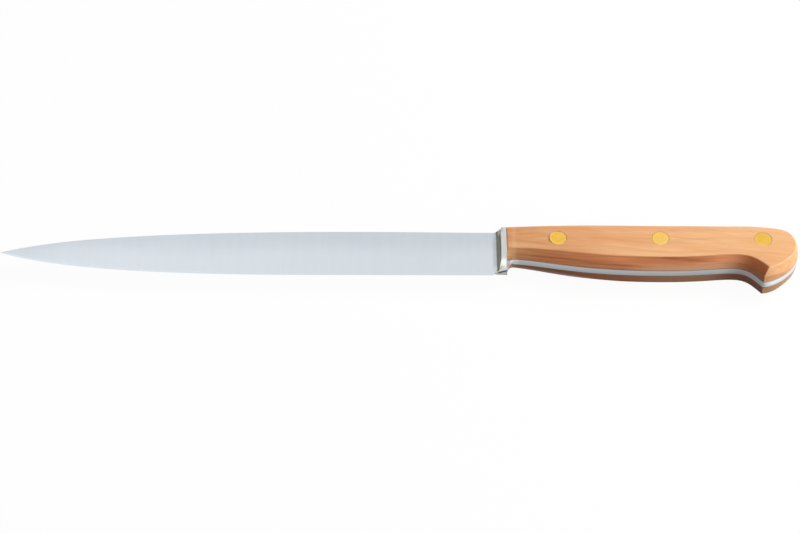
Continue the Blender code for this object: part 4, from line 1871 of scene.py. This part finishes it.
    def late(self, grown: Point, sway: Wire) -> Wire:
        """1 in the dark late wood of the year rings, whose planes stand tilted and sway.

        Args:
            grown: The shaded point, slanted with the grain.
            sway: The noise that bends the rings.

        Returns:
            The share of late wood.
        """
        _, y, z = grown
        rings = (z * math.cos(self.ring_tilt) + y * math.sin(self.ring_tilt)) / self.ring_spacing
        return (rings + sway * self.sway.strength).math("FRACT").mask(self.late_wood)

    def ground(self, graph: ShaderGraph, x: Wire, tone: Wire, masks: Underside) -> Wire:
        """The wood's colour before its dark lines, with the painted light and painted shade of the underside.

        Args:
            graph: The material's nodes.
            x: The shaded point's X.
            tone: How pale the wood has grown there.
            masks: The underside's masks.

        Returns:
            The colour.
        """
        under, far, painted_light_and_coat = masks.under, masks.far, masks.painted_light_and_coat
        tone = tone + x.mask(self.painted_highlight_band) + painted_light_and_coat * under * self.painted_light_tone
        tints = (
            (self.underside, under * (1 - painted_light_and_coat * self.painted_light_tint)),
            (self.far_underside_painted_shade, far),
            (self.far_front_painted_shade, far * x.mask(self.far_front_stretch)),
            (self.beak_painted_shade, under * (x + far * self.beak_shade_lead).mask(self.beak_shade_stretch)),
        )
        ground = graph.blend(self.warm, self.pale, tone)
        for tint, share in tints:
            ground = graph.blend(ground, tint, share, Blend.TINT)
        return ground

    def darkened(self, lines: Wire, streaks: Wire, masks: Underside, place: Point) -> Wire:
        """Darken the lines of the grain at the seams, the top edge and the front end and along the underside,
        with painted shade below the crease and before the beak.

        Args:
            lines: How dark the grain's own lines are.
            streaks: The noise of the streaks.
            masks: The underside's masks.
            place: The shaded point.

        Returns:
            How dark the wood is.
        """
        x, y, z = place
        under, depth = masks.under, masks.depth
        lines = lines + under * depth.mask(self.crease) + x.mask(self.front_end)
        front = self.from_line(depth, x, self.front_streak_line).mask(self.front_streak)
        front = front * x.mask(self.front_streak_stretch) * (streaks + self.front_streak_level)
        rear = self.from_line(depth, x, self.rear_streak_line).mask(self.rear_streak)
        rear = rear * x.mask(self.rear_streak_stretch)
        band = depth.mask(self.band) * x.mask(self.band_stretch)
        seams = z.math("ABSOLUTE").mask(self.seam) + y.mask(self.top_edge)
        faded = 1 - masks.painted_light_and_coat * under * self.painted_light_lines
        return lines * faded + under * (front + rear + band + x.mask(self.beak_shade_lines)) + seams

    @staticmethod
    def from_line(depth: Wire, x: Wire, line: Pair) -> Wire:
        """How far a point lies below a slanted line, given by its depth at X 0 and its slope."""
        start, slope = line
        return depth - x * slope - start

    def masks(self, x: Wire, y: Wire, z: Wire) -> Underside:
        """Where the underside and the crease behind the beak are.

        Args:
            x: The shaded point's X in the knife's frame, in millimetres.
            y: Its Y.
            z: Its Z.

        Returns:
            The masks there.
        """
        shape = self.shape
        tapered = (1 - x / shape.taper_length).math("MAXIMUM", 0.0)
        depth = shape.cheek - tapered * tapered * (shape.cheek - shape.front_half) - z.math("ABSOLUTE")
        ridge_slope = shape.beak_ridge[0] / shape.beak_ridge[1]
        past_ridge = x - shape.beak.x - (y - shape.beak_y) * ridge_slope
        low = depth.mask(self.below_cheek) * y.mask(self.lower_side)
        under = low * past_ridge.mask(self.before_ridge) * sum(x.mask(mask) for mask in self.rising)
        painted_light_and_coat = depth.mask(self.painted_light_depth) * x.mask(self.painted_light_stretch)
        crease_painted_highlight = depth.mask(self.highlight_depth) * y.mask(self.highlight_height)
        return Underside(
            depth=depth,
            under=under,
            painted_light_and_coat=painted_light_and_coat * (1 - x.mask(self.painted_light_hollow)),
            far=z.mask(self.far_side_painted_shade) * (low + under),
            crease_painted_highlight=crease_painted_highlight * past_ridge.mask(self.behind_ridge),
        )


@dataclass(frozen=True)
class RivetBrass:
    """Brass, ground flush with the wood and left satin."""

    rivets: Sequence[Rivet]
    colour: Colour = (0.86, 0.47, 0.05)
    light: Colour = (0.93, 0.62, 0.17)
    lines: Grain = Grain((0.25, 7.0, 0.25), 0.5, 3.0, 0.6)
    clouds: Grain = Grain((0.4, 0.4, 0.4))
    tone: float = 0.35
    rim: Mask = Mask((2.7, 3.5), 0.5)
    middle: Mask = Mask((20.0, 10.0), 0.4)
    roughness: float = 0.34
    uneven_roughness: float = 0.15
    line_strength: float = 0.15
    line_depth: float = 0.01

    def build(self) -> bpy.types.Material:
        """Make the material.

        Returns:
            The material.
        """
        graph = ShaderGraph(bpy.data.materials.new("rivet_brass"))
        x, y, _ = graph.millimetres(self.rivets[0].shape.origin)
        world = graph.millimetres(Vector())
        lines = graph.noise(world, self.lines)
        rim = self.from_axis(x, y).mask(self.rim)
        middle = (x - self.rivets[1].x).math("ABSOLUTE").mask(self.middle)
        light = graph.noise(world, self.clouds) + lines * self.lines.strength + rim + middle + self.tone
        graph.set(
            "Principled BSDF",
            Base_Color=graph.blend(self.colour, self.light, light),
            Roughness=lines * self.uneven_roughness + self.roughness,
            Metallic=1.0,
            Normal=graph.bump(lines, self.line_strength, self.line_depth),
        )
        return graph.owner

    def from_axis(self, x: Wire, y: Wire) -> Wire:
        """Distance from the axis of the nearest rivet, which lie evenly spaced on one line.

        Args:
            x: The shaded point's X.
            y: Its Y.

        Returns:
            The distance.
        """
        first, second = self.rivets[:2]
        pitch = second.x - first.x
        turns = (x - first.x) / pitch + 0.5
        across = (turns - turns.math("FLOOR") - 0.5) * pitch
        up = y - first.y - (x - first.x) * ((second.y - first.y) / pitch)
        return (across * across + up * up).math("SQRT")


@dataclass(frozen=True)
class Card:
    """A flat card that faces the knife: a lamp's diffuser, or one that shows only in reflections.

    Args:
        name: Its name.
        place: Where its middle is, in metres.
        size: Its width and height, in metres.
        level: How bright it is.
    """

    name: str
    place: Triple
    size: Pair
    level: float

    def hang(self, data: bpy.types.ID) -> bpy.types.Object:
        """Add an object with this data in the card's place, facing the knife."""
        return aimed(self.name, data, Vector(self.place), -Vector(self.place))


@dataclass(frozen=True)
class Studio:
    """A white floor, soft lamps and the camera, at the photograph's angle. Sizes and places in metres."""

    elevation: float = math.radians(49)
    distance: float = 1.0
    aim: Triple = (0.00068, -0.002695, 0.00605)
    lens: float = 106.3
    sensor: float = 36.0
    lamps: tuple[Card, ...] = (
        Card("overhead_softbox", (0.47, 0.47, 1.12), (1.5, 1.5), 0.72),
        Card("right_softbox", (0.94, 0.43, 0.79), (0.7, 0.7), 7.8),
        Card("low_softbox", (1.20, -0.32, 0.39), (0.6, 0.5), 5.0),
        Card("front_softbox", (0.75, -0.95, 0.55), (0.6, 0.6), 3.3),
    )
    flags: tuple[Card, ...] = (
        Card("left_flag", (-0.85, 0.85, 0.46), (1.3, 1.0), 0.45),
        Card("front_flag", (0.0, -1.5, 0.13), (3.0, 0.42), 0.05),
        Card("front_card", (0.25, -0.75, 0.85), (1.2, 0.5), 1.6),
        Card("right_card", (0.62, -0.05, 1.02), (0.3, 0.3), 4.0),
    )
    floor_size: Pair = (12.0, 12.0)
    floor_cells: int = 8
    flag_cells: int = 2
    floor_colour: float = 0.34
    floor_white: float = 0.85
    floor_glow: float = 1.12
    world_level: float = 0.10

    def build(self) -> None:
        """Set up the floor, the light and the camera."""
        bpy.context.scene.view_settings.view_transform = "Standard"
        self.floor()
        self.world()
        for card in self.lamps:
            self.lamp(card)
        for card in self.flags:
            self.flag(card)
        self.camera()
        log.info("studio: %d lamps and %d cards", len(self.lamps), len(self.flags))

    def camera(self) -> None:
        """Look down on the knife's side from in front of its edge."""
        data = bpy.data.cameras.new("camera")
        data.lens = self.lens
        data.sensor_width = self.sensor
        back = Vector((0, -math.cos(self.elevation), math.sin(self.elevation)))
        bpy.context.scene.camera = aimed("camera", data, Vector(self.aim) + back * self.distance, -back)

    def floor(self) -> None:
        """A white floor that keeps the knife's shadow."""
        graph = ShaderGraph(bpy.data.materials.new("floor_white"))
        diffuse = graph.node("ShaderNodeBsdfDiffuse", {"Color": (self.floor_colour,) * 3})
        glow = graph.glow(self.floor_glow)
        share = graph.seen() * self.floor_white
        both = graph.node("ShaderNodeMixShader", {0: share, 1: diffuse, 2: glow})
        graph.set("Material Output", Surface=both)
        add_object("floor", sheet("floor", self.floor_size, self.floor_cells, graph.owner))

    def world(self) -> None:
        """A white surround for what is seen, and a dimmer one for what it lights."""
        world = bpy.data.worlds.new("studio")
        bpy.context.scene.world = world
        graph = ShaderGraph(world)
        levels = {"Value": graph.seen(), "To Min": self.world_level, "To Max": 1.0}
        graph.set("Background", Color=WHITE, Strength=graph.node("ShaderNodeMapRange", levels))

    def lamp(self, card: Card) -> None:
        """A rectangular soft lamp.

        Args:
            card: Its diffuser.
        """
        data = bpy.data.lights.new(card.name, "AREA")
        data.shape = "RECTANGLE"
        data.size, data.size_y = card.size
        data.energy = card.level * math.pi * card.size[0] * card.size[1]
        card.hang(data).visible_glossy = False

    def flag(self, card: Card) -> None:
        """A dark or bright card that shows only as a reflection in polished steel.

        Args:
            card: The card.
        """
        graph = ShaderGraph(bpy.data.materials.new(card.name))
        graph.set("Material Output", Surface=graph.glow(card.level))
        flag = card.hang(sheet(card.name, card.size, self.flag_cells, graph.owner))
        for kind in ("camera", "diffuse", "shadow", "transmission", "volume_scatter"):
            setattr(flag, f"visible_{kind}", False)


@dataclass
class Knife:
    """The whole knife: its pieces, their finishes and what they replace."""

    shape: HandleShape = HandleShape()
    rivet_names: tuple[str, ...] = ("front", "middle", "rear")
    first_rivet: Pair = (21.5, 14.3)
    last_rivet_from_butt: float = 15.0
    last_rivet_y: float = 13.2

    @cached_property
    def rivets(self) -> list[Rivet]:
        """The rivets, from the bolster to the butt."""
        last = len(self.rivet_names) - 1
        end = (self.shape.length - self.last_rivet_from_butt, self.last_rivet_y)
        places = [[mix(a, b, i / last) for a, b in zip(self.first_rivet, end)] for i in range(last + 1)]
        return [Rivet(self.shape, x, y) for x, y in places]

    def cutters(self) -> list[bpy.types.Object]:
        """A cutter for every rivet, to be used up by one piece."""
        return [rivet.bore(f"{name}_bore") for name, rivet in zip(self.rivet_names, self.rivets)]

    def dress(self, piece: bpy.types.Object, node: str, material: bpy.types.Material) -> None:
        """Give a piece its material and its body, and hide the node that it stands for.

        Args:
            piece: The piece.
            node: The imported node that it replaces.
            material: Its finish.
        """
        piece.data.materials.clear()
        piece.data.materials.append(material)
        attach(piece, ROOT)
        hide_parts(node)
        log.info("%s stands for %s: %d faces", piece.name, node, len(piece.data.polygons))

    def build(self) -> None:
        """Make and dress every piece."""
        block = HandleBlock(self.shape)
        forging = Forging(block)
        steel = KnifeSteel(forging).build()
        wood = FruitWood(self.shape).build()
        brass = RivetBrass(self.rivets).build()
        self.dress(forging.build(self.cutters()), "forged_blade", steel)
        for side in Side:
            scale = Scale(block, side)
            self.dress(scale.build(self.cutters()), scale.node, wood)
        for name, rivet in zip(self.rivet_names, self.rivets):
            for half, make in (("sleeve", rivet.sleeve), ("pin", rivet.pin)):
                node = f"{name}_rivet_{half}"
                self.dress(make(f"{node}_brass"), node, brass)


def main() -> None:
    """Build the knife and the studio, and report."""
    logging.basicConfig(level=logging.INFO, format="%(name)s: %(message)s")
    Knife().build()
    Studio().build()


if __name__ == "__main__":
    main()
